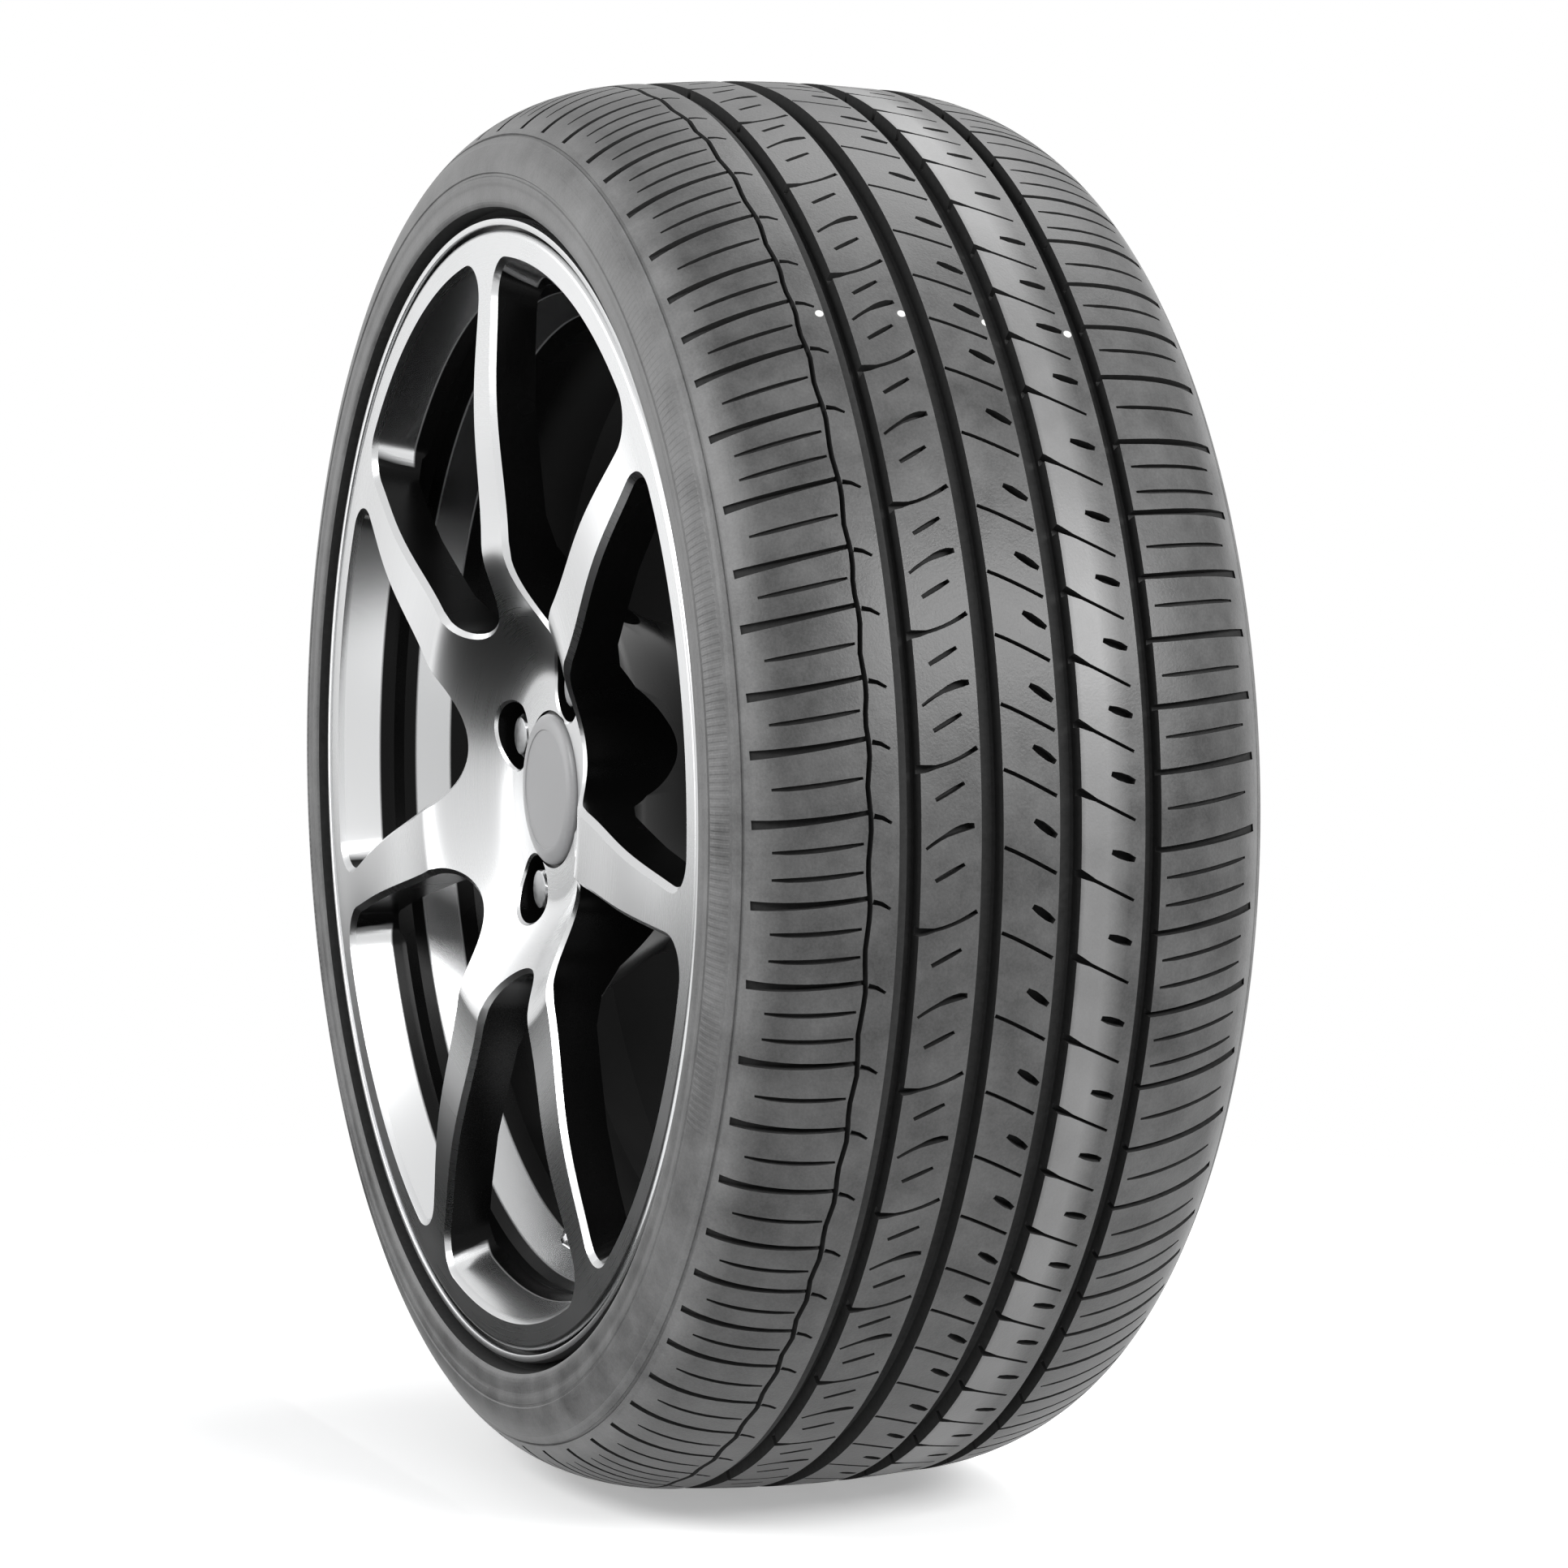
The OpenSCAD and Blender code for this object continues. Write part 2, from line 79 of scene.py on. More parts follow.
# Face
FACE_Y = -(HALF_RIM + 13.4)
FACE_EDGE_R = FLANGE_R - 5.5
EDGE_ROUND = 2.4
RING_GROOVE_W = 1.8
RING_GROOVE_DEPTH = 4.0
SPOKES = 7
SPOKE_CLOCK = -4.0
SPOKE_PITCH = 360 / SPOKES
SPOKE_HALF_W = 16.0
SPOKE_TAPER = 0.05
SPOKE_T = 20.0
SPOKE_BOW = 3.0
SPOKE_ROOT_Y = FACE_Y + 22
WINDOW_OUT_R = SEAT_R - 2
WINDOW_IN_R = 80.0
WINDOW_CORNER_R = 14.0
BEVEL_W = 2.4
CUT_AHEAD = 12.0

# Hub
DIVE_OUT_R = 108.0
DIVE_IN_R = 48.0
PAD_Y = FACE_Y + 25
PAD_R = 72.0
MOUNT_Y = PAD_Y + 52
BORE_R = 28.05
BORE_END_Y = MOUNT_Y - 28
CAP_BORE_R = BORE_R - 2
CAP_R = 33.0
CAP_SEAT_R = CAP_R + 1.5
CAP_SEAT_Y = PAD_Y + 1
HOOK_Y = BORE_END_Y - 7
HOOK_GROOVE_R = BORE_R - 0.6
HOOK_GROOVE_Y = HOOK_Y - 0.2
HOOK_GROOVE_W = 4.0

# Bolts
BOLTS = 4
BOLT_CLOCK = 24.0
BOLT_CIRCLE_R = 50.0
POCKET_R = 15.0
POCKET_FLOOR_Y = MOUNT_Y - 28
HEAD_FLATS = 17.0
CONE_R = HEAD_FLATS / 2 + 3.5
CONE_ANGLE = math.radians(30)
SHANK_R = 6.0
SHANK_GAP = 1.2
SHANK_OUT = 26.0
THREAD_PITCH = 1.5
THREAD_DEPTH = 0.92
BOLT_SEGMENTS = 48

# Valve
VALVE_CLOCK = 165.0
VALVE_HOLE_R = 5.75
VALVE_SPOT_R = VALVE_HOLE_R + 5


# Mesh helpers
def mesh_object(name, verts, faces, slots=()):
    """A mesh object from points in mm."""
    mesh = bpy.data.meshes.new(name)
    mesh.from_pydata([tuple(c * MM for c in v) for v in verts], [], faces)
    for m in slots:
        mesh.materials.append(m)
    mesh.update()
    ob = bpy.data.objects.new(name, mesh)
    bpy.context.scene.collection.objects.link(ob)
    return ob


def join_parts(parts):
    """One (verts, faces) from several."""
    verts, faces = [], []
    for v, f in parts:
        n = len(verts)
        verts.extend(v)
        faces.extend([tuple(i + n for i in face) for face in f])
    return verts, faces


def ring_faces(segments, n):
    """Quads between the rows of a closed ring of sections with n points each."""
    faces = []
    for k in range(segments):
        k2 = (k + 1) % segments
        for i in range(n):
            j = (i + 1) % n
            faces.append((k * n + i, k * n + j, k2 * n + j, k2 * n + i))
    return faces


def revolve(profile, segments):
    """Turns a closed profile of (radius, axial place) round the axle."""
    verts = []
    for k in range(segments):
        a = TAU * k / segments
        verts.extend([(r * math.sin(a), y, r * math.cos(a)) for r, y in profile])
    return verts, ring_faces(segments, len(profile))


def spin(profile, segments, place):
    """Turns a profile of (radius, along) round local Z and places it. A radius of 0 makes a pole."""
    verts, faces, rows = [], [], []
    for r, h in profile:
        if r == 0:
            rows.append([len(verts)])
            verts.append(place @ Vector((0, 0, h)))
        else:
            rows.append(list(range(len(verts), len(verts) + segments)))
            for k in range(segments):
                a = TAU * k / segments
                verts.append(place @ Vector((r * math.cos(a), r * math.sin(a), h)))
    for a, b in zip(rows[:-1], rows[1:]):
        for k in range(segments):
            k2 = (k + 1) % segments
            if len(a) == 1:
                faces.append((a[0], b[k], b[k2]))
            elif len(b) == 1:
                faces.append((a[k], b[0], a[k2]))
            else:
                faces.append((a[k], b[k], b[k2], a[k2]))
    return [tuple(v) for v in verts], faces


def loft(rings):
    """A closed solid through rings of equal length, with triangles so that bent strips stay sound."""
    n = len(rings[0])
    verts = [p for ring in rings for p in ring]
    faces = [tuple(range(n - 1, -1, -1)), tuple((len(rings) - 1) * n + k for k in range(n))]
    for s in range(len(rings) - 1):
        for k in range(n):
            k2 = (k + 1) % n
            a, b, c, d = s * n + k, s * n + k2, (s + 1) * n + k2, (s + 1) * n + k
            faces.append((a, b, c))
            faces.append((a, c, d))
    return verts, faces


def read(items, field, kind=float, width=1):
    """One field of a mesh's points, corners or faces as an array."""
    values = np.zeros(len(items) * width, kind)
    items.foreach_get(field, values)
    return values.reshape(-1, width) if width > 1 else values


def face_places(ob):
    """The normal and the centre, in mm, of each face."""
    faces = ob.data.polygons
    return read(faces, "normal", width=3), read(faces, "center", width=3) / MM


def outward(ob):
    """Turns a closed mesh so that its faces look outwards."""
    me = ob.data
    me.calc_loop_triangles()
    corners = read(me.vertices, "co", width=3)[read(me.loop_triangles, "vertices", int, 3)]
    volume = np.einsum("ij,ij->i", corners[:, 0], np.cross(corners[:, 1], corners[:, 2])).sum()
    if volume < 0:
        me.flip_normals()


def cut(ob, cutter):
    """Takes a closed cutter out of a closed mesh."""
    outward(ob)
    outward(cutter)
    mod = ob.modifiers.new("cut", "BOOLEAN")
    mod.operation = "DIFFERENCE"
    mod.solver = "MANIFOLD"
    mod.object = cutter
    deps = bpy.context.evaluated_depsgraph_get()
    new = bpy.data.meshes.new_from_object(ob.evaluated_get(deps))
    ob.modifiers.clear()
    ob.data = new
    bpy.data.objects.remove(cutter)


def paint(ob, second):
    """Gives slot 1 to the faces where second is true, and slot 0 to the others."""
    ob.data.polygons.foreach_set("material_index", second.astype(np.int32))
    ob.data.update()


def shade(ob, angle, true_normal=None):
    """Smooth shading with sharp edges past an angle in degrees. true_normal(points, face_normals,
    face_centres) gives exact normals and a mask for the points that lie on a known curved surface."""
    me = ob.data
    me.shade_smooth()
    me.set_sharp_from_angle(angle=math.radians(angle))
    if true_normal is None:
        return
    points = read(me.vertices, "co", width=3)[read(me.loops, "vertex_index", int)] / MM
    corner = read(me.corner_normals, "vector", width=3)
    total = read(me.polygons, "loop_total", int)
    face = np.repeat(np.arange(len(total)), total)
    normal, centre = face_places(ob)
    exact, mask = true_normal(points, normal[face], centre[face])
    corner[mask] = exact[mask]
    me.normals_split_custom_set([tuple(v) for v in corner])


def arc(r0, y0, r, a0, a1, n):
    """Points of an arc in the (radius, axial) plane."""
    angles = [math.radians(a0 + (a1 - a0) * k / n) for k in range(n + 1)]
    return [(r0 + r * math.cos(a), y0 + r * math.sin(a)) for a in angles]


def flipped(points):
    """The same outline on the other side of the wheel, running on."""
    return [(r, -y) for r, y in reversed(points)]


def at_clock(clock, radius=0.0, y=0.0):
    """A place at a clock angle, with local X clockwise, Y along the axle and Z away from it."""
    return Matrix.Rotation(math.radians(clock), 4, "Y") @ Matrix.Translation((0, y, radius))


def bead_side(gap, from_angle, curl_steps, heel_steps):
    """The rim's outline from the flange's curl to the end of the bead seat, moved out by a gap."""
    points = arc(FLANGE_R - FLANGE_CURL, -CURL_Y, FLANGE_CURL + gap, from_angle, 90, curl_steps)
    points += arc(SEAT_R + HEEL_R, HEEL_R - HALF_RIM, HEEL_R - gap, 270, 180, heel_steps)
    return points + [(SEAT_R + gap - SEAT_DROP, SEAT_END_Y)]


# Tread pattern, with its pitches as in the part's source
PITCH_SEQUENCE = "LLMSSMLMSMSMLLLMMMSSSMMMMLLMLMMLS"
SEQUENCE_TURNS = 2
PITCH_UNITS = {"S": 5, "M": 6, "L": 7}
FIRST_PITCH_CLOCK = 24.5
MM_PER_DEGREE = TAU * CROWN_R / 360
GROOVE_DEPTH = 7.5
FINE_GROOVE_DEPTH = 5.0
FINE_GROOVE_WAVE = 0.7
GROOVE_AHEAD = 1.5
SLOT_DEPTH = 5.0
SLOT_AHEAD = 1.3
SIPE_DEPTH = 4.0
HOOK_DEPTH = 4.5
NICK_DEPTH = 3.5
EDGE_SIPE_DEPTH = 2.4
# The shoulders' slots run out before this axial place and this radius
TREAD_END_Y = 110.5
TREAD_END_R = 262.0

# Points down the shoulder's ellipse, in degrees, and the fine mould rings cut into it, with their depths
SHOULDER_STEPS = (0, 6, 12, 18, 24, 30, 35, 40, 45, 50, 54, 57.5, 60)
MOULD_RINGS = ((62.4, 0), (62.7, 0.9), (64, 0.9), (64.4, 0), (66, 0.25), (68.5, 0.25), (69, 0), (73, 0),
               (78, 0), (83, 0), (86.5, 0), (87.2, 0.5), (88.6, 0.5), (89.2, 0), (90, 0))
# The lower sidewall and the rim's guard: out from the flange, and in from the widest place
LOWER_WALL = ((14.3, 0), (13.1, 0.4), (11.3, 0.4), (10.3, 0), (7.1, 0), (5.3, 0.4), (4.2, 1.2), (3.7, 2.6),
              (3.2, 9))


def pitches():
    """(clock angle, angle, letter) of each pitch, going clockwise."""
    letters = PITCH_SEQUENCE * SEQUENCE_TURNS
    unit = 360 / sum(PITCH_UNITS[p] for p in letters)
    out, at = [], FIRST_PITCH_CLOCK
    for letter in letters:
        angle = PITCH_UNITS[letter] * unit
        out.append((at, angle, letter))
        at += angle
    return out


def outer_r(y):
    """Radius of the tyre's outside over the axial place y, without its grooves."""
    y = np.abs(np.asarray(y, float))
    s = np.clip((y - CROWN_HALF_W) / SHOULDER_W, 0, 1)
    crown = CROWN_DROP * (np.minimum(y, CROWN_HALF_W) / CROWN_HALF_W) ** 2
    return CROWN_R - crown - SHOULDER_DROP * (1 - np.sqrt(1 - s * s))


def outer_slope(y):
    """Slope of outer_r. The crown's slope fades out over a few mm where the shoulder's takes over."""
    fade_w, steepest = 6, 0.995
    y = np.asarray(y, float)
    a = np.abs(y)
    s = np.clip((a - CROWN_HALF_W) / SHOULDER_W, 0, steepest)
    crown = -2 * CROWN_DROP * a / CROWN_HALF_W ** 2
    crown = np.where(a > CROWN_HALF_W, crown * np.clip(1 - (a - CROWN_HALF_W) / fade_w, 0, 1), crown)
    shoulder = -SHOULDER_DROP * s / np.sqrt(1 - s * s) / SHOULDER_W
    return np.sign(y) * (crown + shoulder)


def tyre_profile():
    """Closed profile: out over the tread from one bead to the other, and back through the air space."""
    crown = [(float(outer_r(y)), y) for y in range(-6, -43, -6)]
    side = []
    for a, depth in tuple((a, 0) for a in SHOULDER_STEPS) + MOULD_RINGS:
        t = math.radians(a)
        # the ellipse's normal, which the depth is measured along
        nr, ny = math.cos(t) * SHOULDER_W, -math.sin(t) * SHOULDER_DROP
        k = depth / math.hypot(nr, ny)
        side.append((CROWN_R - CROWN_DROP - SHOULDER_DROP * (1 - math.cos(t)) - nr * k,
                     -CROWN_HALF_W - SHOULDER_W * math.sin(t) - ny * k))
    side += [(FLANGE_R + out, inset - HALF_SECTION) for out, inset in LOWER_WALL]
    side += bead_side(BEAD_GAP, from_angle=55, curl_steps=6, heel_steps=6)
    air_space = [(SEAT_R + 6, 20 - HALF_RIM), (FLANGE_R + 4, 0.6 - HALF_RIM), (262.4, -110), (279, -100),
                 (291, -70), (293.4, -35)]
    front = crown + side + air_space
    return front + flipped(front) + [(float(outer_r(0)), 0.0)]


def blade(clock, path, widths, depths):
    """A narrow cutter along a path of (axial place, mm clockwise from a clock angle) over the tread."""
    n = len(path)
    verts, faces = [], []
    for i, (y, s) in enumerate(path):
        y0, s0 = path[max(i - 1, 0)]
        y1, s1 = path[min(i + 1, n - 1)]
        ty, ts = y1 - y0, s1 - s0
        length = math.hypot(ty, ts)
        ny, ns = -ts / length, ty / length
        floor = -depths[i]
        for side, height in ((0.5, SLOT_AHEAD), (-0.5, SLOT_AHEAD), (-0.5, floor), (0.5, floor)):
            py, ps = y + ny * side * widths[i], s + ns * side * widths[i]
            r = float(outer_r(py)) + height
            a = math.radians(clock + ps / MM_PER_DEGREE)
            verts.append((r * math.sin(a), py, r * math.cos(a)))
    for i in range(n - 1):
        for j in range(4):
            k = (j + 1) % 4
            faces.append((i * 4 + j, i * 4 + k, i * 4 + 4 + k, i * 4 + 4 + j))
    faces.append((3, 2, 1, 0))
    faces.append(tuple((n - 1) * 4 + j for j in range(4)))
    return verts, faces


def curve_path(y0, y1, rise, power, steps, start=0.0):
    """A path from y0 to y1 that rises (goes anticlockwise) by so many mm: late if power is above 1."""
    out = []
    for i in range(steps + 1):
        t = i / steps
        bend = t ** power if power >= 1 else 1 - (1 - t) ** (1 / power)
        out.append((y0 + (y1 - y0) * t, start - rise * bend))
    return out


def spread(a, b, steps, power=1.0):
    """Values from a to b, bunched towards b where power is below 1."""
    return [a + (b - a) * (i / steps) ** power for i in range(steps + 1)]


def pitch_cuts(odd, long):
    """The cuts of one pitch, in mm, as (share of the pitch, path, widths, depths)."""
    bold_w = [2.0, 3.3, 3.3, 2.0]
    # thin sipes lie between the shoulders' slots: two in a long pitch, one in the others
    between = (1 / 3, 2 / 3) if long else (1 / 2,)
    # outer shoulder: one bold slot a pitch
    cuts = [(0, curve_path(-109, -66.6, rise=5, power=1.5, steps=8), spread(4.0, 2.0, 8, 0.8),
             [1.2, 2.4, 3.6, 4.6] + [SLOT_DEPTH] * 5)]
    cuts += [(share, curve_path(-102.5, -69.3, rise=3.9, power=1.5, steps=6),
              [1.1, 1.9, 2.1, 2.1, 2.0, 1.8, 1.1], [0.9] + [EDGE_SIPE_DEPTH] * 6) for share in between]
    # narrow rib: a nick under the slot's end
    cuts += [(0, [(-65.3, -3.4), (-61.8, -2.6), (-58.2, -0.5)], [2.2, 1.8, 1.2], [NICK_DEPTH] * 3)]
    # second rib: hooked sipes, by turns open to either groove, and a short one between
    if odd:
        cuts += [(0.27, curve_path(-46.6, -22.2, rise=8, power=1.9, steps=7),
                  [3.6, 2.9, 1.6, 1.5, 1.5, 1.6, 1.8, 1.9], [HOOK_DEPTH] * 8)]
    else:
        cuts += [(0.3, curve_path(-44, -24, rise=8.9, power=0.6, steps=7),
                  [1.2, 1.4, 1.5, 1.8, 2.6, 3.0, 3.0, 2.0], [3] + [HOOK_DEPTH] * 7)]
    cuts += [(0.58, curve_path(-40, -28, rise=6.5, power=1.0, steps=3, start=3.2),
              [1.7, 2.0, 2.0, 1.5], [SIPE_DEPTH] * 4)]
    # third rib: a thin sipe right across, and a short bold slot
    cuts += [(0.3, curve_path(-11.4, 11.2, rise=-11, power=1.1, steps=5), [1.6] * 6, [SIPE_DEPTH] * 6),
             (0, [(1.5, 0), (4.5, 1.9), (8, 4.4), (11, 6.5)], bold_w, [SLOT_DEPTH] * 4)]
    # fourth rib: a thin sipe with a bold mouth, and a short bold slot
    cuts += [(0.63, curve_path(21.3, 46, rise=-12, power=1.0, steps=7),
              [3.4, 2.6, 1.5, 1.4, 1.4, 1.4, 1.4, 1.2], [SLOT_DEPTH] * 2 + [SIPE_DEPTH] * 6),
             (0.4, [(35.5, 0), (39, 1.1), (43, 2.4), (46, 3.5)], bold_w, [SLOT_DEPTH] * 4)]
    # inner shoulder: one slot a pitch
    inner = 0.4
    cuts += [(inner, curve_path(57, 107, rise=6.3, power=1.3, steps=8), spread(2.3, 3.4, 8),
              [SLOT_DEPTH] * 5 + [4.6, 3.6, 2.4, 1.2])]
    cuts += [(inner + share, curve_path(60.5, 101.5, rise=5.4, power=1.3, steps=6),
              [1.0] + [1.8] * 5 + [1.0], [EDGE_SIPE_DEPTH] * 6 + [0.9]) for share in between]
    return cuts


def tread_blades():
    """The cutters of every slot and sipe across the tread."""
    parts = []
    for k, (clock, angle, letter) in enumerate(pitches()):
        for share, path, widths, depths in pitch_cuts(k % 2 == 1, letter == "L"):
            parts.append(blade(clock + share * angle, path, widths, depths))
    return join_parts(parts)


def groove_section(y0, y1, depth, wall_lean, floor_lean, rounding):
    """Section of a groove between two axial places, as (axial place, depth)."""
    return [(y0, -GROOVE_AHEAD), (y1, -GROOVE_AHEAD), (y1 - wall_lean, depth - rounding),
            (y1 - floor_lean, depth), (y0 + floor_lean, depth), (y0 + wall_lean, depth - rounding)]


def groove_ring(section, wave=0.0):
    """A ring cutter from a section of (axial place, depth), which may wave sideways with the pitches."""
    marks = pitches()
    starts = np.array([c for c, _, _ in marks] + [marks[0][0] + 360])
    verts = []
    for k in range(TYRE_SEGMENTS):
        clock = marks[0][0] + 360 * k / TYRE_SEGMENTS
        i = min(np.searchsorted(starts, clock, side="right") - 1, len(marks) - 1)
        phase = (clock - starts[i]) / marks[i][1]
        shift = wave * (2 * abs(2 * phase - 1) - 1)
        a = math.radians(clock)
        for y, depth in section:
            r = float(outer_r(y)) - depth
            verts.append((r * math.sin(a), y + shift, r * math.cos(a)))
    return verts, ring_faces(TYRE_SEGMENTS, len(section))


def groove_cutters():
    """The five long grooves, from the outer shoulder inwards. The second has a shallow step beside it."""
    fine = groove_section(-68.1, -65.8, FINE_GROOVE_DEPTH, wall_lean=0.5, floor_lean=0.8, rounding=0.4)
    stepped = [(-55.3, -GROOVE_AHEAD), (-45.9, -GROOVE_AHEAD), (-46.5, 6.8), (-47.1, GROOVE_DEPTH),
               (-50.0, GROOVE_DEPTH), (-50.8, 6.8), (-51.2, 2.0), (-54.8, 2.0)]
    third = groove_section(-21.2, -11.6, GROOVE_DEPTH, wall_lean=0.9, floor_lean=2.0, rounding=0.9)
    fourth = groove_section(12.3, 22.2, GROOVE_DEPTH, wall_lean=0.9, floor_lean=2.0, rounding=0.9)
    fifth = groove_section(50.2, 57.8, GROOVE_DEPTH, wall_lean=0.8, floor_lean=1.8, rounding=0.9)
    straight = [groove_ring(section) for section in (stepped, third, fourth, fifth)]
    return join_parts([groove_ring(fine, FINE_GROOVE_WAVE)] + straight)


def tread_normal(points, face_normal, face_centre):
    """Exact normals over the ribs, where the surface is the plain crown or shoulder."""
    near, alike = 0.25, 0.94
    r = np.hypot(points[:, 0], points[:, 2])
    n = np.stack([points[:, 0] / r, -outer_slope(points[:, 1]), points[:, 2] / r], -1)
    n /= np.linalg.norm(n, axis=1)[:, None]
    height = np.hypot(face_centre[:, 0], face_centre[:, 2]) - outer_r(face_centre[:, 1])
    on = (np.abs(height) < near) & (np.einsum("ij,ij->i", n, face_normal) > alike)
    return n, on & (np.abs(points[:, 1]) < TREAD_END_Y - 0.3)


def paint_tyre(ob):
    """Slot 0 is the outside, slot 1 the walls and floors of the grooves, slots and sipes, and the beads."""
    deep, upright, inner = 0.45, 0.35, -0.9
    bead_r, bead_y = FLANGE_R + 4, 90
    normal, c = face_places(ob)
    r = np.hypot(c[:, 0], c[:, 2])
    y = np.abs(c[:, 1])
    radial = (normal[:, 0] * c[:, 0] + normal[:, 2] * c[:, 2]) / r
    tread = (y < TREAD_END_Y) & (r > TREAD_END_R)
    # slot 1 is the darker rubber: painted shade in the grooves, slots and sipes
    sunk = tread & ((r < outer_r(y) - deep) | (radial < upright)) & (radial > inner)
    paint(ob, sunk | ((r < bead_r) & (y > bead_y)))


def make_tyre(rubber, groove_shade):
    """The tyre: a revolved body, with the grooves and then the slots and sipes cut out."""
    slots = [rubber, groove_shade]
    ob = mesh_object("tyre_rubber", *revolve(tyre_profile(), TYRE_SEGMENTS), slots)
    cut(ob, mesh_object("grooves", *groove_cutters(), slots))
    cut(ob, mesh_object("slots", *tread_blades(), slots))
    paint_tyre(ob)
    shade(ob, angle=32, true_normal=tread_normal)
    return ob


# Alloy wheel
def front_y(r):
    """Front of the spokes, bowl and hub pad at a radius."""
    r = np.asarray(r, float)
    bow = SPOKE_BOW * (1 - np.cos(TAU * np.clip((r - DIVE_OUT_R) / (WINDOW_OUT_R - DIVE_OUT_R), 0, 1))) / 2
    t = np.clip((DIVE_OUT_R - r) / (DIVE_OUT_R - DIVE_IN_R), 0, 1)
    return FACE_Y - bow + (PAD_Y - FACE_Y) * t * t * (3 - 2 * t)


def window_half(grow, out_r, inner_steps=12, steps=14):
    """Half of a window's outline, from its inner end to its outer end, as (across, up)."""
    half = math.radians(SPOKE_PITCH / 2)
    side = half + math.atan(SPOKE_TAPER)
    apex = (SPOKE_HALF_W + SPOKE_TAPER * DIVE_OUT_R) / (math.sin(half) + SPOKE_TAPER * math.cos(half))
    inner_r = (WINDOW_IN_R - apex) * math.sin(side) / (1 - math.sin(side))
    # the outer corner's middle lies on a line beside the spoke, where its arc touches the outer end
    p = np.array((-WINDOW_CORNER_R * math.cos(side), apex + WINDOW_CORNER_R * math.sin(side)))
    d = np.array((math.sin(side), math.cos(side)))
    s = p @ d
    cx, cz = p + d * (-s + math.sqrt(s * s - p @ p + (out_r - WINDOW_CORNER_R) ** 2))
    turn = math.atan2(cz, cx)
    inner, corner = [], []
    for k in range(inner_steps + 1):
        a = (math.pi / 2 - side) * k / inner_steps
        x, z = (inner_r + grow) * math.sin(a), (inner_r + grow) * math.cos(a)
        inner.append((x, WINDOW_IN_R + inner_r - z))
    for k in range(steps + 1):
        a = -side + (turn + side) * k / steps
        r = WINDOW_CORNER_R + grow
        corner.append((cx + r * math.cos(a), cz + r * math.sin(a)))
    start, end = np.array(inner[-1]), np.array(corner[0])
    straight = [tuple(start + (end - start) * k / steps) for k in range(1, steps)]
    outer = []
    for k in range(1, steps + 1):
        a = (math.pi / 2 - turn) * (1 - k / steps)
        outer.append(((out_r + grow) * math.sin(a), (out_r + grow) * math.cos(a)))
    return inner + straight + corner + outer


def window_cutter(clock):
    """A window with bevelled edges: rings of one outline, joined from front to back."""
    place = at_clock(clock)

    def ring(grow, out_r, depth):
        half = window_half(grow, out_r)
        outline = half + [(-x, z) for x, z in half[-2:0:-1]]
        return [tuple(place @ Vector((x, depth(math.hypot(x, z)), z))) for x, z in outline]

    return loft([
        ring(BEVEL_W + 1, WINDOW_OUT_R, lambda r: FACE_Y - CUT_AHEAD),
        ring(BEVEL_W + 1, WINDOW_OUT_R, lambda r: float(front_y(r)) - 1),
        ring(0, WINDOW_OUT_R, lambda r: float(front_y(r)) + BEVEL_W),
        ring(-1, BARREL_IN_R + 2.5, lambda r: SPOKE_ROOT_Y),
        ring(-1.5, WELL_IN_R - 1, lambda r: WELL_FRONT_Y - 8),
        ring(-1.5, WELL_IN_R - 1, lambda r: WELL_BACK_Y + 4),
    ])


def bolt_cutter(clock):
    """A bolt's pocket with a small bevel round its mouth, the seat's cone and the hole for the shank."""
    segments = 56
    place = at_clock(clock)

    def ring(radius, depth):
        out = []
        for k in range(segments):
            a = TAU * k / segments
            x, z = radius * math.cos(a), BOLT_CIRCLE_R + radius * math.sin(a)
            out.append(tuple(place @ Vector((x, depth(math.hypot(x, z)), z))))
        return out

    hole_r = SHANK_R + SHANK_GAP
    cone_len = (CONE_R - hole_r) / math.tan(CONE_ANGLE)
    return loft([
        ring(POCKET_R + 2, lambda r: FACE_Y - CUT_AHEAD),
        ring(POCKET_R + 2, lambda r: float(front_y(r)) - 1),
        ring(POCKET_R, lambda r: float(front_y(r)) + 1),
        ring(POCKET_R, lambda r: POCKET_FLOOR_Y),
        ring(CONE_R, lambda r: POCKET_FLOOR_Y),
        ring(hole_r, lambda r: POCKET_FLOOR_Y + cone_len),
        ring(hole_r, lambda r: MOUNT_Y + 2),
    ])


def valve_cutter():
    """The valve's hole through the slope down to the well, with a flat spot round its inner end."""
    tilt = math.pi - math.atan2(SLOPE_OUT_R - WELL_R, WELL_FRONT_Y - SLOPE_OUT_Y)
    middle = at_clock(VALVE_CLOCK, (SLOPE_OUT_R + WELL_R) / 2, (SLOPE_OUT_Y + WELL_FRONT_Y) / 2)
    start, spot, end = -4, 4.5, 26
    profile = [(0, start), (VALVE_HOLE_R, start), (VALVE_HOLE_R, spot), (VALVE_SPOT_R, spot),
               (VALVE_SPOT_R, end), (0, end)]
    return spin(profile, segments=40, place=middle @ Matrix.Rotation(tilt, 4, "X"))


def rim_outside():
    """From the front lip over the beads and the well to the back lip."""
    lip = math.degrees(math.asin((-FACE_Y - CURL_Y) / FLANGE_CURL))
    bead = bead_side(0, from_angle=-lip, curl_steps=12, heel_steps=8)
    hump = (SEAT_R - SEAT_DROP + 1, SEAT_END_Y + 3)
    well = [(SLOPE_OUT_R, SLOPE_OUT_Y), (WELL_R, WELL_FRONT_Y), (WELL_R, WELL_BACK_Y),
            (SLOPE_OUT_R - 1, WELL_BACK_Y + 26), (SLOPE_OUT_R - 1, -SLOPE_OUT_Y)]
    return bead + [hump] + well + flipped(bead)


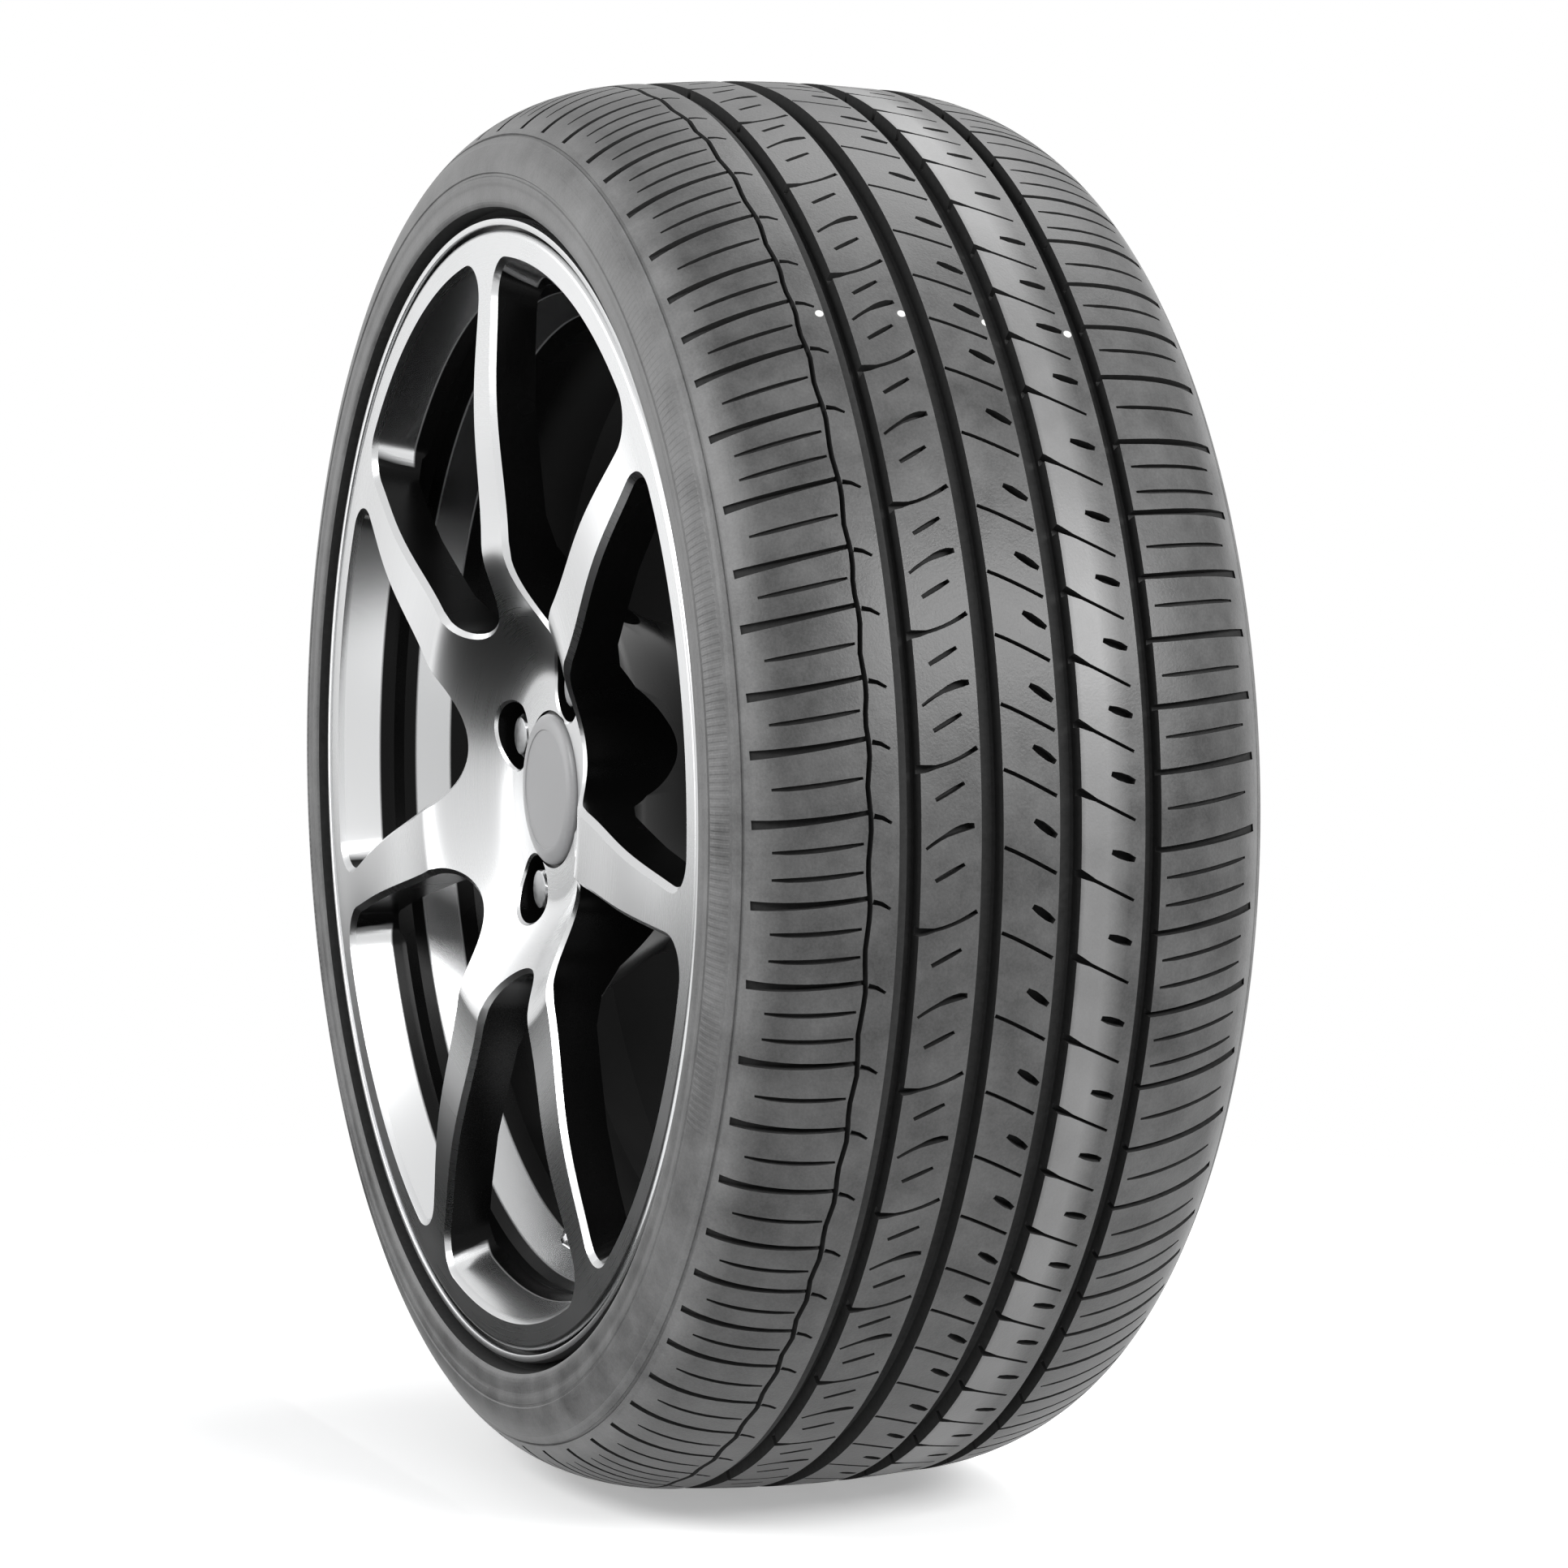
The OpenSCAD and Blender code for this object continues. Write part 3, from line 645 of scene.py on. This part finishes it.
def rim_inside():
    """From the back lip through the barrel and down the back of the spokes to the mounting face."""
    barrel = [(FLANGE_R - 4, -FACE_Y), (SEAT_R + 5, HALF_RIM + 6), (BARREL_IN_R + 3, HALF_RIM - 4),
              (BARREL_IN_R, HALF_RIM - 14), (BARREL_IN_R, WELL_BACK_Y + 32), (WELL_IN_R, WELL_BACK_Y + 6),
              (WELL_IN_R, WELL_FRONT_Y), (BARREL_IN_R, WELL_FRONT_Y - 26), (BARREL_IN_R, SPOKE_ROOT_Y - 0.5)]
    spokes = [(r, float(front_y(r)) + SPOKE_T) for r in (212, 190, 165, 140, 120)]
    hub = [(DIVE_OUT_R - 1, FACE_Y + SPOKE_T + 4), (PAD_R + 23, PAD_Y + 9), (PAD_R + 12, PAD_Y + 25),
           (PAD_R + 3, MOUNT_Y - 12), (PAD_R, MOUNT_Y)]
    return barrel + spokes + hub


def hub_bore():
    """From the mounting face through the bore and the groove for the cap's hooks to the hub pad."""
    return [(BORE_R, MOUNT_Y), (BORE_R, BORE_END_Y), (CAP_BORE_R, BORE_END_Y - 2),
            (CAP_BORE_R, HOOK_GROOVE_Y + HOOK_GROOVE_W), (HOOK_GROOVE_R, HOOK_GROOVE_Y + HOOK_GROOVE_W),
            (HOOK_GROOVE_R, HOOK_GROOVE_Y), (CAP_BORE_R, HOOK_GROOVE_Y), (CAP_BORE_R, CAP_SEAT_Y),
            (CAP_SEAT_R, CAP_SEAT_Y), (CAP_SEAT_R, PAD_Y), (DIVE_IN_R, PAD_Y)]


def front_face():
    """From the hub pad up the bowl and the spokes to the face's rounded edge, the ring groove and the lip."""
    radii = [*np.linspace(DIVE_IN_R, DIVE_OUT_R, 25)[1:], *np.linspace(DIVE_OUT_R, WINDOW_OUT_R, 17)[1:]]
    edge = arc(FACE_EDGE_R - EDGE_ROUND, FACE_Y + EDGE_ROUND, EDGE_ROUND, 270, 360, 7)
    groove_out_r = FACE_EDGE_R + RING_GROOVE_W
    groove = [(FACE_EDGE_R, FACE_Y + RING_GROOVE_DEPTH), (groove_out_r, FACE_Y + RING_GROOVE_DEPTH),
              (groove_out_r, FACE_Y + 0.6), (groove_out_r + 0.15, FACE_Y + 0.2), (groove_out_r + 0.6, FACE_Y)]
    return [(r, float(front_y(r))) for r in radii] + edge + groove


def face_normal_of(points, face_normal, face_centre):
    """Exact normals over the turned front of the wheel."""
    near, alike, step = 0.3, 0.96, 0.05
    r = np.hypot(points[:, 0], points[:, 2])
    slope = (front_y(r + step) - front_y(r - step)) / (2 * step)
    n = np.stack([slope * points[:, 0] / r, -np.ones(len(r)), slope * points[:, 2] / r], -1)
    n /= np.linalg.norm(n, axis=1)[:, None]
    rc = np.hypot(face_centre[:, 0], face_centre[:, 2])
    on = (np.abs(face_centre[:, 1] - front_y(rc)) < near) & (np.einsum("ij,ij->i", n, face_normal) > alike)
    return n, on & (rc > CAP_SEAT_R) & (rc < FACE_EDGE_R - EDGE_ROUND)


def paint_wheel(ob):
    """Slot 0 is the turned bright metal, slot 1 the dark paint of the pockets, windows and barrel."""
    normal, c = face_places(ob)
    r, y = np.hypot(c[:, 0], c[:, 2]), c[:, 1]
    turned = (y - front_y(r) < BEVEL_W + 0.1) & (normal[:, 1] < -0.5) & (r > CAP_R + 1)
    lip = (r > FACE_EDGE_R - 3) & (y < 1.5 - CURL_Y)
    # The ring groove keeps the dark paint, which also stands as painted shade for the dark band inside the
    # lip.
    groove = (r > FACE_EDGE_R - 0.2) & (r < FACE_EDGE_R + RING_GROOVE_W + 0.1) & (y > FACE_Y + 2)
    paint(ob, ~(turned | lip) | groove)


def make_wheel(metal, dark):
    """The wheel: a revolved casting, with the windows, bolt pockets and valve hole cut out."""
    slots = [metal, dark]
    profile = rim_outside() + rim_inside() + hub_bore() + front_face()
    ob = mesh_object("wheel_alloy", *revolve(profile, WHEEL_SEGMENTS), slots)
    windows = [window_cutter(SPOKE_CLOCK + (k + 0.5) * SPOKE_PITCH) for k in range(SPOKES)]
    cut(ob, mesh_object("windows", *join_parts(windows), slots))
    pockets = [bolt_cutter(BOLT_CLOCK + 360 / BOLTS * k) for k in range(BOLTS)]
    cut(ob, mesh_object("holes", *join_parts(pockets + [valve_cutter()]), slots))
    paint_wheel(ob)
    shade(ob, angle=28, true_normal=face_normal_of)
    return ob


# Materials
class Nodes:
    """A short way to write a node tree."""

    def __init__(self, tree):
        self.tree = tree

    def node(self, kind, values=None, **props):
        n = self.tree.nodes.new(kind)
        for k, v in props.items():
            setattr(n, k, v)
        for k, v in (values or {}).items():
            self.put(n.inputs[k], v)
        return n

    def put(self, socket, value):
        if isinstance(value, bpy.types.NodeSocket):
            self.tree.links.new(value, socket)
        else:
            socket.default_value = value

    def ramp(self, fac, low, high, a=0.0, b=1.0):
        values = {"Value": fac, "From Min": low, "From Max": high, "To Min": a, "To Max": b}
        return self.node("ShaderNodeMapRange", values).outputs["Result"]

    def math(self, kind, a, b=0.0):
        return self.node("ShaderNodeMath", {0: a, 1: b}, operation=kind).outputs[0]

    def vector(self, kind, a, b=(0, 0, 0)):
        return self.node("ShaderNodeVectorMath", {0: a, 1: b}, operation=kind).outputs

    def times(self, first, *others):
        for other in others:
            first = self.math("MULTIPLY", first, other)
        return first

    def plus(self, first, *others):
        for other in others:
            first = self.math("ADD", first, other)
        return first


class Finish(Nodes):
    """A material whose pattern sits in the object's own space, in metres."""

    def __init__(self, name):
        self.mat = bpy.data.materials.new(name)
        self.mat.use_nodes = True
        super().__init__(self.mat.node_tree)
        self.shader = self.tree.nodes["Principled BSDF"]
        self.place = self.node("ShaderNodeTexCoord").outputs["Object"]

    def set(self, **values):
        for k, v in values.items():
            self.put(self.shader.inputs[k.replace("_", " ")], v)

    def noise(self, scale, detail=4.0, rough=0.55, vector=None):
        values = {"Vector": vector or self.place, "Scale": scale, "Detail": detail, "Roughness": rough}
        return self.node("ShaderNodeTexNoise", values).outputs["Fac"]

    def mix(self, fac, a, b):
        a, b = (v if isinstance(v, bpy.types.NodeSocket) else (*v, 1) for v in (a, b))
        return self.node("ShaderNodeMix", {0: fac, 6: a, 7: b}, data_type="RGBA").outputs[2]

    def mix_value(self, fac, a, b):
        return self.node("ShaderNodeMix", {0: fac, 2: a, 3: b}, data_type="FLOAT").outputs[0]

    def bump(self, height, strength, distance):
        n = self.node("ShaderNodeBump", {"Height": height, "Strength": strength, "Distance": distance})
        self.put(self.shader.inputs["Normal"], n.outputs["Normal"])

    def polar(self):
        """Radius from the axle, turn round it and place along it, in metres and in turns."""
        x, y, z = self.node("ShaderNodeSeparateXYZ", {"Vector": self.place}).outputs
        radius = self.math("SQRT", self.plus(self.times(x, x), self.times(z, z)))
        return radius, self.math("DIVIDE", self.math("ARCTAN2", x, z), TAU), y

    def rings(self, radius, turn, fine, slow, detail):
        """A grain of rings round the axle: fine across them, slow along them."""
        values = {"X": self.times(radius, fine), "Y": self.times(turn, slow)}
        return self.noise(1.0, detail, 0.5, self.node("ShaderNodeCombineXYZ", values).outputs[0])


def grey(value):
    """A neutral colour."""
    return value, value, value


def paint_dots(m, tone, colour, radius):
    """Four small paint dots across the ribs, at (axial place in mm, clock angle), over a tone."""
    dots = 0.0
    for y, clock in ((-57.0, 47.6), (-22.5, 47.9), (12.8, 48.8), (48.4, 49.6)):
        a, r = math.radians(clock), float(outer_r(y)) * MM
        gap = m.vector("DISTANCE", m.place, (r * math.sin(a), y * MM, r * math.cos(a)))["Value"]
        dots = m.math("MAXIMUM", m.ramp(gap, radius + 0.0005, radius), dots)
    return m.mix(dots, tone, colour)


def side_ribs(m, radius, turn):
    """Two bands of fine radial ribs on each sidewall, each over a little less than a quarter turn."""
    rib_count, band_in, band_out, edge = 540, 0.2665, 0.2785, 0.0005
    wave = m.math("SINE", m.times(turn, TAU * rib_count))
    band = m.times(m.ramp(radius, band_in, band_in + edge), m.ramp(radius, band_out, band_out - edge))
    sweep = m.math("SINE", m.plus(m.times(turn, 2 * TAU), -0.9))
    return m.times(m.ramp(wave, -0.4, 0.4), band, m.ramp(sweep, 0.02, 0.03))


def rubber_material(name):
    """Dusty rubber, paler on the sidewalls, with four paint dots and a painted sheen round the fourth rib."""
    # where each zone fades in or out, in metres
    wall_r, tread_r, sheen_in_y, sheen_out_y = (0.294, 0.287), (0.29, 0.3), (0.020, 0.024), (0.044, 0.034)
    m = Finish(name)
    radius, turn, y = m.polar()
    dust = m.noise(38, 6, 0.62)
    fine = m.noise(900, 3, 0.6)
    patch = m.ramp(m.plus(dust, m.times(fine, 0.35)), 0.45, 0.95)
    side = m.ramp(radius, *wall_r)
    uneven = m.ramp(m.noise(9, 2), 0.3, 0.7, 0.3, 0.7)
    # a pale band round the fourth rib: a painted sheen
    painted_sheen = m.times(m.ramp(y, *sheen_in_y), m.ramp(y, *sheen_out_y), uneven)
    tread = m.mix(patch, grey(0.026), grey(0.094))
    tread = m.mix(m.times(painted_sheen, m.ramp(radius, *tread_r)), tread, grey(0.28))
    tone = m.mix(side, tread, m.mix(patch, grey(0.085), grey(0.2)))
    m.set(Base_Color=paint_dots(m, tone, colour=(0.8, 0.8, 0.78), radius=0.0014),
          Roughness=m.ramp(patch, 0, 1, 0.38, 0.52), Specular_IOR_Level=0.4)
    lines = m.times(m.rings(radius, turn, fine=900.0, slow=2.0, detail=1), side, 1.2)
    ribs = m.times(side_ribs(m, radius, turn), 2.4)
    m.bump(m.plus(fine, lines, m.times(m.noise(260, 3), 0.8), ribs), 0.26, 0.0004)
    return m.mat


def shaded_groove_material(name):
    """Painted shade: near-black rubber for the grooves, slots and sipes, also free of dust."""
    m = Finish(name)
    grain = m.noise(400, 3)
    m.set(Base_Color=m.mix(grain, grey(0.012), grey(0.03)), Roughness=0.8, Specular_IOR_Level=0.2)
    m.bump(grain, 0.2, 0.0004)
    return m.mat


def turned_metal():
    """Bright metal turned on a lathe: fine rings round the axle under clear lacquer."""
    m = Finish("turned_metal")
    radius, turn, _ = m.polar()
    grain = m.rings(radius, turn, fine=2600.0, slow=3.0, detail=2)
    cloud = m.plus(m.times(grain, 0.4), m.times(m.noise(14, 3), 0.6))
    m.set(Base_Color=m.mix(m.times(grain, 0.6), (0.64, 0.645, 0.65), (0.55, 0.555, 0.56)), Metallic=1.0,
          Roughness=m.ramp(cloud, 0.2, 0.8, 0.24, 0.32), Coat_Weight=0.15, Coat_Roughness=0.1)
    m.bump(grain, 0.016, 0.0001)
    return m.mat


def dark_paint():
    """Black paint, with bright turned metal on the face ring's inner wall and on the slope behind it."""
    # where each bright zone fades out, in metres, and how much its faces look at the axle
    wall_y, wall_r, wall_inward = (-0.0965, -0.0975), (0.2085, 0.2105), (0.62, 0.76)
    front_slope_y, back_slope_y = (-0.0815, -0.0805), (-0.0665, -0.0675)
    slope_r, slope_inward = (0.203, 0.205), (0.6, 0.8)
    m = Finish("dark_paint")
    radius, _, y = m.polar()
    to_axle = m.vector("NORMALIZE", m.vector("MULTIPLY", m.place, (-1, 0, -1))[0])[0]
    normal = m.node("ShaderNodeTexCoord").outputs["Normal"]
    inward = m.vector("DOT_PRODUCT", to_axle, normal)["Value"]
    wall = m.times(m.ramp(inward, *wall_inward), m.ramp(y, *wall_y), m.ramp(radius, *wall_r))
    slope = m.times(m.ramp(y, *front_slope_y), m.ramp(y, *back_slope_y), m.ramp(inward, *slope_inward),
                    m.ramp(radius, *slope_r))
    bright = m.math("MAXIMUM", wall, slope)
    paint_tone = m.mix(m.times(m.noise(1500, 2, 0.5), 0.5), grey(0.002), grey(0.007))
    metal_tone = m.mix(slope, (0.68, 0.685, 0.69), (0.56, 0.565, 0.57))
    # the paint turns dull deep in the barrel
    deep = m.ramp(y, -0.05, -0.02)
    rough = m.plus(m.ramp(m.noise(20, 3), 0.3, 0.7, 0.2, 0.3), m.times(deep, 0.6))
    m.set(Base_Color=m.mix(bright, paint_tone, metal_tone), Metallic=bright,
          Roughness=m.mix_value(bright, rough, 0.25), Specular_IOR_Level=0.1)
    m.bump(m.noise(240, 2), 0.04, 0.0003)
    return m.mat


def plain_metal(name, light, dark, rough):
    """Metal with a fine grain."""
    m = Finish(name)
    grain = m.noise(500, 4, 0.6)
    m.set(Base_Color=m.mix(grain, dark, light), Metallic=1.0,
          Roughness=m.ramp(grain, 0.3, 0.7, rough - 0.06, rough + 0.08))
    m.bump(grain, 0.08, 0.0002)
    return m.mat


def plain_plastic(name, light, dark, rough):
    """Moulded plastic or rubber with a fine grain."""
    m = Finish(name)
    grain = m.noise(700, 4, 0.6)
    m.set(Base_Color=m.mix(grain, dark, light), Roughness=m.ramp(grain, 0.3, 0.7, rough - 0.05, rough + 0.07))
    m.bump(grain, 0.12, 0.0002)
    return m.mat


# Cap, bolts and valve
def cap_profile():
    """Front disc with a bevelled rim, and behind it the skirt with its hooks, as (radius, along the axle)."""
    # in from the disc's edge, and forward of the seat
    rim = ((12, 3.7), (7.6, 3.6), (7.2, 3.6), (6.9, 4), (5.5, 4), (2.6, 3.5), (1.2, 2.9), (0.4, 2.2),
           (0, 1.3), (0, 0))
    skirt_r, skirt_in_r, hook_r = BORE_R - 2.3, BORE_R - 4.3, BORE_R - 1
    disc = [(0, CAP_SEAT_Y - 3.75)] + [(CAP_R - inset, CAP_SEAT_Y - height) for inset, height in rim]
    skirt = [(skirt_r, CAP_SEAT_Y), (skirt_r, HOOK_Y), (hook_r, HOOK_Y), (hook_r, HOOK_Y + 1),
             (skirt_r, HOOK_Y + 2.6), (skirt_r - 0.4, HOOK_Y + 4.2), (skirt_in_r, HOOK_Y + 4.2)]
    return disc + skirt + [(skirt_in_r, CAP_SEAT_Y - 1.4), (0, CAP_SEAT_Y - 1.4)]


def make_cap(material):
    """The centre cap, whose skirt is slotted into six hooks."""
    half_w, reach, front, back = 4, 40, PAD_Y + 6, PAD_Y + 40
    ob = mesh_object("cap_disc", *spin(cap_profile(), segments=128, place=ALONG_AXLE), [material])
    for k in range(3):
        turn = at_clock(60 * k)
        ends = []
        for y in (front, back):
            corners = ((-half_w, y, -reach), (half_w, y, -reach), (half_w, y, reach), (-half_w, y, reach))
            ends.append([tuple(turn @ Vector(c)) for c in corners])
        cut(ob, mesh_object("slot", *loft(ends), [material]))
    shade(ob, angle=30)
    return ob


def bolt_head(top, seat, place):
    """A hexagonal head with a turned chamfer: rings cut off at a limit of radius, as (limit, height)."""
    flat, corner = HEAD_FLATS / 2, HEAD_FLATS / math.sqrt(3)
    sixth = math.radians(60)
    rings = []
    for limit, h in ((flat - 1.2, top), (flat - 0.3, top + 0.2), (corner, top + 1.6), (corner, seat - 3)):
        ring = []
        for k in range(BOLT_SEGMENTS):
            a = TAU * k / BOLT_SEGMENTS
            r = min(flat / math.cos((a + sixth / 2) % sixth - sixth / 2), limit)
            ring.append(tuple(place @ Vector((r * math.cos(a), r * math.sin(a), h))))
        rings.append(ring)
    return loft(rings)


def thread_ridge(start, end, root_r, place):
    """The thread's helical ridge, which fades in and out over its first and last turn."""
    steps, run_out, half_foot, half_crest = 40, 1.5, 0.72, 0.1
    turns = int((end - start - run_out) / THREAD_PITCH)
    foot_r = root_r - 0.3
    rings = []
    for i in range(turns * steps + 1):
        a = TAU * i / steps
        h = start + 0.6 + THREAD_PITCH * i / steps
        crest_r = root_r + (SHANK_R - root_r) * min(1.0, i / steps, (turns * steps - i) / steps)
        section = ((foot_r, -half_foot), (crest_r, -half_crest), (crest_r, half_crest), (foot_r, half_foot))
        rings.append([tuple(place @ Vector((r * math.cos(a), r * math.sin(a), h + dz))) for r, dz in section])
    return loft(rings)


def bolt_parts(place):
    """A bolt's head, its conical seat and its threaded shank, along local Z."""
    top, seat, end = PAD_Y + 1.5, POCKET_FLOOR_Y - 0.2, MOUNT_Y + SHANK_OUT
    root_r = SHANK_R - THREAD_DEPTH
    start = seat + (CONE_R - SHANK_R) / math.tan(CONE_ANGLE) + 1
    body = [(0, seat - 3.5), (CONE_R, seat - 3.5), (CONE_R, seat), (SHANK_R, start - 1), (SHANK_R, start),
            (root_r, start + 0.8), (root_r, end - 0.9), (root_r - 0.9, end), (0, end)]
    shank = spin(body, BOLT_SEGMENTS, place)
    return [shank, bolt_head(top, seat, place), thread_ridge(start, end, root_r, place)]


def make_bolts(material):
    """All the bolts, in one mesh."""
    parts = []
    for k in range(BOLTS):
        parts += bolt_parts(at_clock(BOLT_CLOCK + 360 / BOLTS * k, BOLT_CIRCLE_R) @ ALONG_AXLE)
    ob = mesh_object("bolts_threaded", *join_parts(parts), [material])
    shade(ob, angle=30)
    return ob


def retex(node, material):
    """Gives a node of the part a new material."""
    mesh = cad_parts[node].data
    mesh.materials.clear()
    mesh.materials.append(material)


tyre = make_tyre(rubber_material("tyre_rubber"), shaded_groove_material("tyre_groove_shade"))
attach(tyre, "root")
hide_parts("tyre")

wheel = make_wheel(turned_metal(), dark_paint())
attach(wheel, "root")
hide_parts("alloy_wheel")

cap = make_cap(plain_plastic("cap_finish", (0.35, 0.35, 0.355), (0.29, 0.29, 0.295), rough=0.38))
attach(cap, "root")
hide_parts("centre_cap")

bolts = make_bolts(plain_metal("bolt_zinc", (0.42, 0.425, 0.43), (0.25, 0.255, 0.26), rough=0.34))
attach(bolts, "root")
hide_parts("wheel_bolts")

retex("valve_stem", plain_plastic("valve_rubber", grey(0.03), grey(0.015), rough=0.6))
retex("valve_core", plain_metal("core_brass", (0.75, 0.6, 0.3), (0.6, 0.46, 0.2), rough=0.3))
retex("valve_cap", plain_metal("cap_metal", (0.9, 0.9, 0.91), (0.78, 0.78, 0.8), rough=0.2))

# Studio, in metres
FLOOR_Z = -CROWN_R * MM
FLOOR_R = 9.0
WHITE = (1, 1, 1, 1)
WORLD_TINT = (0.97, 0.985, 1, 1)
WORLD_LIGHT = 0.38
CARD_OUTLINE = ((0.15, -0.14), (-0.45, -0.14), (-0.6, 0.3), (-2.4, 0.3), (-2.4, -1.4), (0.15, -1.4))


def lamp(name, at, look, size, power):
    """A soft rectangular lamp that looks at a point."""
    data = bpy.data.lights.new(name, "AREA")
    data.shape = "RECTANGLE"
    data.size, data.size_y = size
    data.energy = power
    ob = bpy.data.objects.new(name, data)
    bpy.context.scene.collection.objects.link(ob)
    ob.location = at
    ob.rotation_euler = (Vector(look) - Vector(at)).to_track_quat("-Z", "Y").to_euler()


def sheet(name, outline, z, material):
    """A flat sheet with an outline of (x, y)."""
    points = [(x / MM, y / MM, z / MM) for x, y in outline]
    ob = mesh_object(name, points, [tuple(range(len(outline)))], [material])
    return ob


def seen_plainly(m):
    """1 for rays from the camera, straight, through glass or off a polished face."""
    path = m.node("ShaderNodeLightPath").outputs
    seen = m.math("MAXIMUM", path["Is Camera Ray"], path["Is Glossy Ray"])
    return m.math("MAXIMUM", seen, path["Is Transmission Ray"])


def make_floor():
    """White paper that runs out into the white backdrop."""
    m = Finish("floor_paper")
    plain_to, white_from = 0.4, 1.1
    away = m.vector("LENGTH", m.place)["Value"]
    grain = m.noise(60, 4)
    plain = seen_plainly(m)
    m.set(Base_Color=m.mix(grain, grey(0.93), grey(0.9)), Roughness=0.9, Emission_Color=WHITE,
          Emission_Strength=m.times(plain, 0.36))
    m.bump(grain, 0.02, 0.0005)
    glow = m.node("ShaderNodeEmission", {"Color": WHITE, "Strength": m.ramp(plain, 0, 1, 0.35, 1)})
    both = m.node("ShaderNodeMixShader", {0: m.ramp(away, plain_to, white_from), 1: m.shader.outputs[0],
                                          2: glow.outputs[0]})
    m.put(m.tree.nodes["Material Output"].inputs["Surface"], both.outputs[0])
    sides = 64
    angles = [TAU * k / sides for k in range(sides)]
    sheet("floor", [(FLOOR_R * math.cos(a), FLOOR_R * math.sin(a)) for a in angles], FLOOR_Z, m.mat)


def make_dark_card():
    """A black card beside the wheel, as a photographer lays by polished metal. Only reflections see it."""
    m = Finish("black_card")
    m.set(Base_Color=m.mix(m.noise(80, 3), grey(0.004), grey(0.008)), Roughness=1.0, Specular_IOR_Level=0.0)
    ob = sheet("black_card", CARD_OUTLINE, FLOOR_Z + 0.0005, m.mat)
    ob.visible_camera = False
    ob.visible_diffuse = False
    ob.visible_shadow = False
    ob.visible_transmission = False


def make_world():
    """White to the camera and in reflections, and a plain soft light on the object."""
    world = bpy.data.worlds.new("studio")
    world.use_nodes = True
    world.node_tree.nodes.clear()
    bpy.context.scene.world = world
    w = Nodes(world.node_tree)
    lit = w.node("ShaderNodeBackground", {"Color": WORLD_TINT, "Strength": WORLD_LIGHT})
    shown = w.node("ShaderNodeBackground", {"Color": WHITE, "Strength": 1.0})
    both = w.node("ShaderNodeMixShader", {0: seen_plainly(w), 1: lit.outputs[0], 2: shown.outputs[0]})
    w.node("ShaderNodeOutputWorld", {"Surface": both.outputs[0]})


make_floor()
make_dark_card()
make_world()
lamp("right_box", at=(1.85, 0.72, 0.95), look=(0, 0, 0), size=(1.2, 0.7), power=48)
lamp("front_box", at=(0.5, -1.75, 1.15), look=(0, 0, 0), size=(1.1, 0.8), power=22)
lamp("wheel_box", at=(-1.6, -1.7, 0.5), look=(0, -0.1, 0), size=(1.1, 1.4), power=12)
lamp("back_box", at=(-0.6, 0.9, 1.9), look=(0, 0, 0), size=(1.2, 1.0), power=16)

# Camera: it looks at the target from an azimuth and an elevation, and then turns by a small pan and tilt.
# Angles are in degrees, places in metres and the lens in mm, on a sensor 36 mm wide.
CAMERA_AZIMUTH = 70.993
CAMERA_ELEVATION = 4.575
CAMERA_PAN = 2.8601
CAMERA_TILT = 0.067
CAMERA_TARGET = (0, -0.11206, 0)
CAMERA_DISTANCE = 2.4453
CAMERA_LENS = 128.95


def make_camera():
    """The camera, at the photo's angle."""
    az, el = math.radians(CAMERA_AZIMUTH), math.radians(CAMERA_ELEVATION)
    pan, tilt = math.radians(CAMERA_PAN), math.radians(CAMERA_TILT)
    back = Vector((math.sin(az) * math.cos(el), -math.cos(az) * math.cos(el), math.sin(el)))
    right = Vector((math.cos(az), math.sin(az), 0))
    up = back.cross(right)
    level = math.sin(pan) * right - math.cos(pan) * back
    ahead = math.cos(tilt) * level + math.sin(tilt) * up
    side = ahead.cross(up).normalized()
    data = bpy.data.cameras.new("camera")
    data.sensor_width = 36
    data.lens = CAMERA_LENS
    data.clip_start = 0.05
    ob = bpy.data.objects.new("camera", data)
    bpy.context.scene.collection.objects.link(ob)
    place = Matrix((side, side.cross(ahead), -ahead)).transposed().to_4x4()
    place.translation = Vector(CAMERA_TARGET) + back * CAMERA_DISTANCE
    ob.matrix_world = place
    bpy.context.scene.camera = ob


make_camera()
bpy.context.scene.view_settings.view_transform = "Standard"
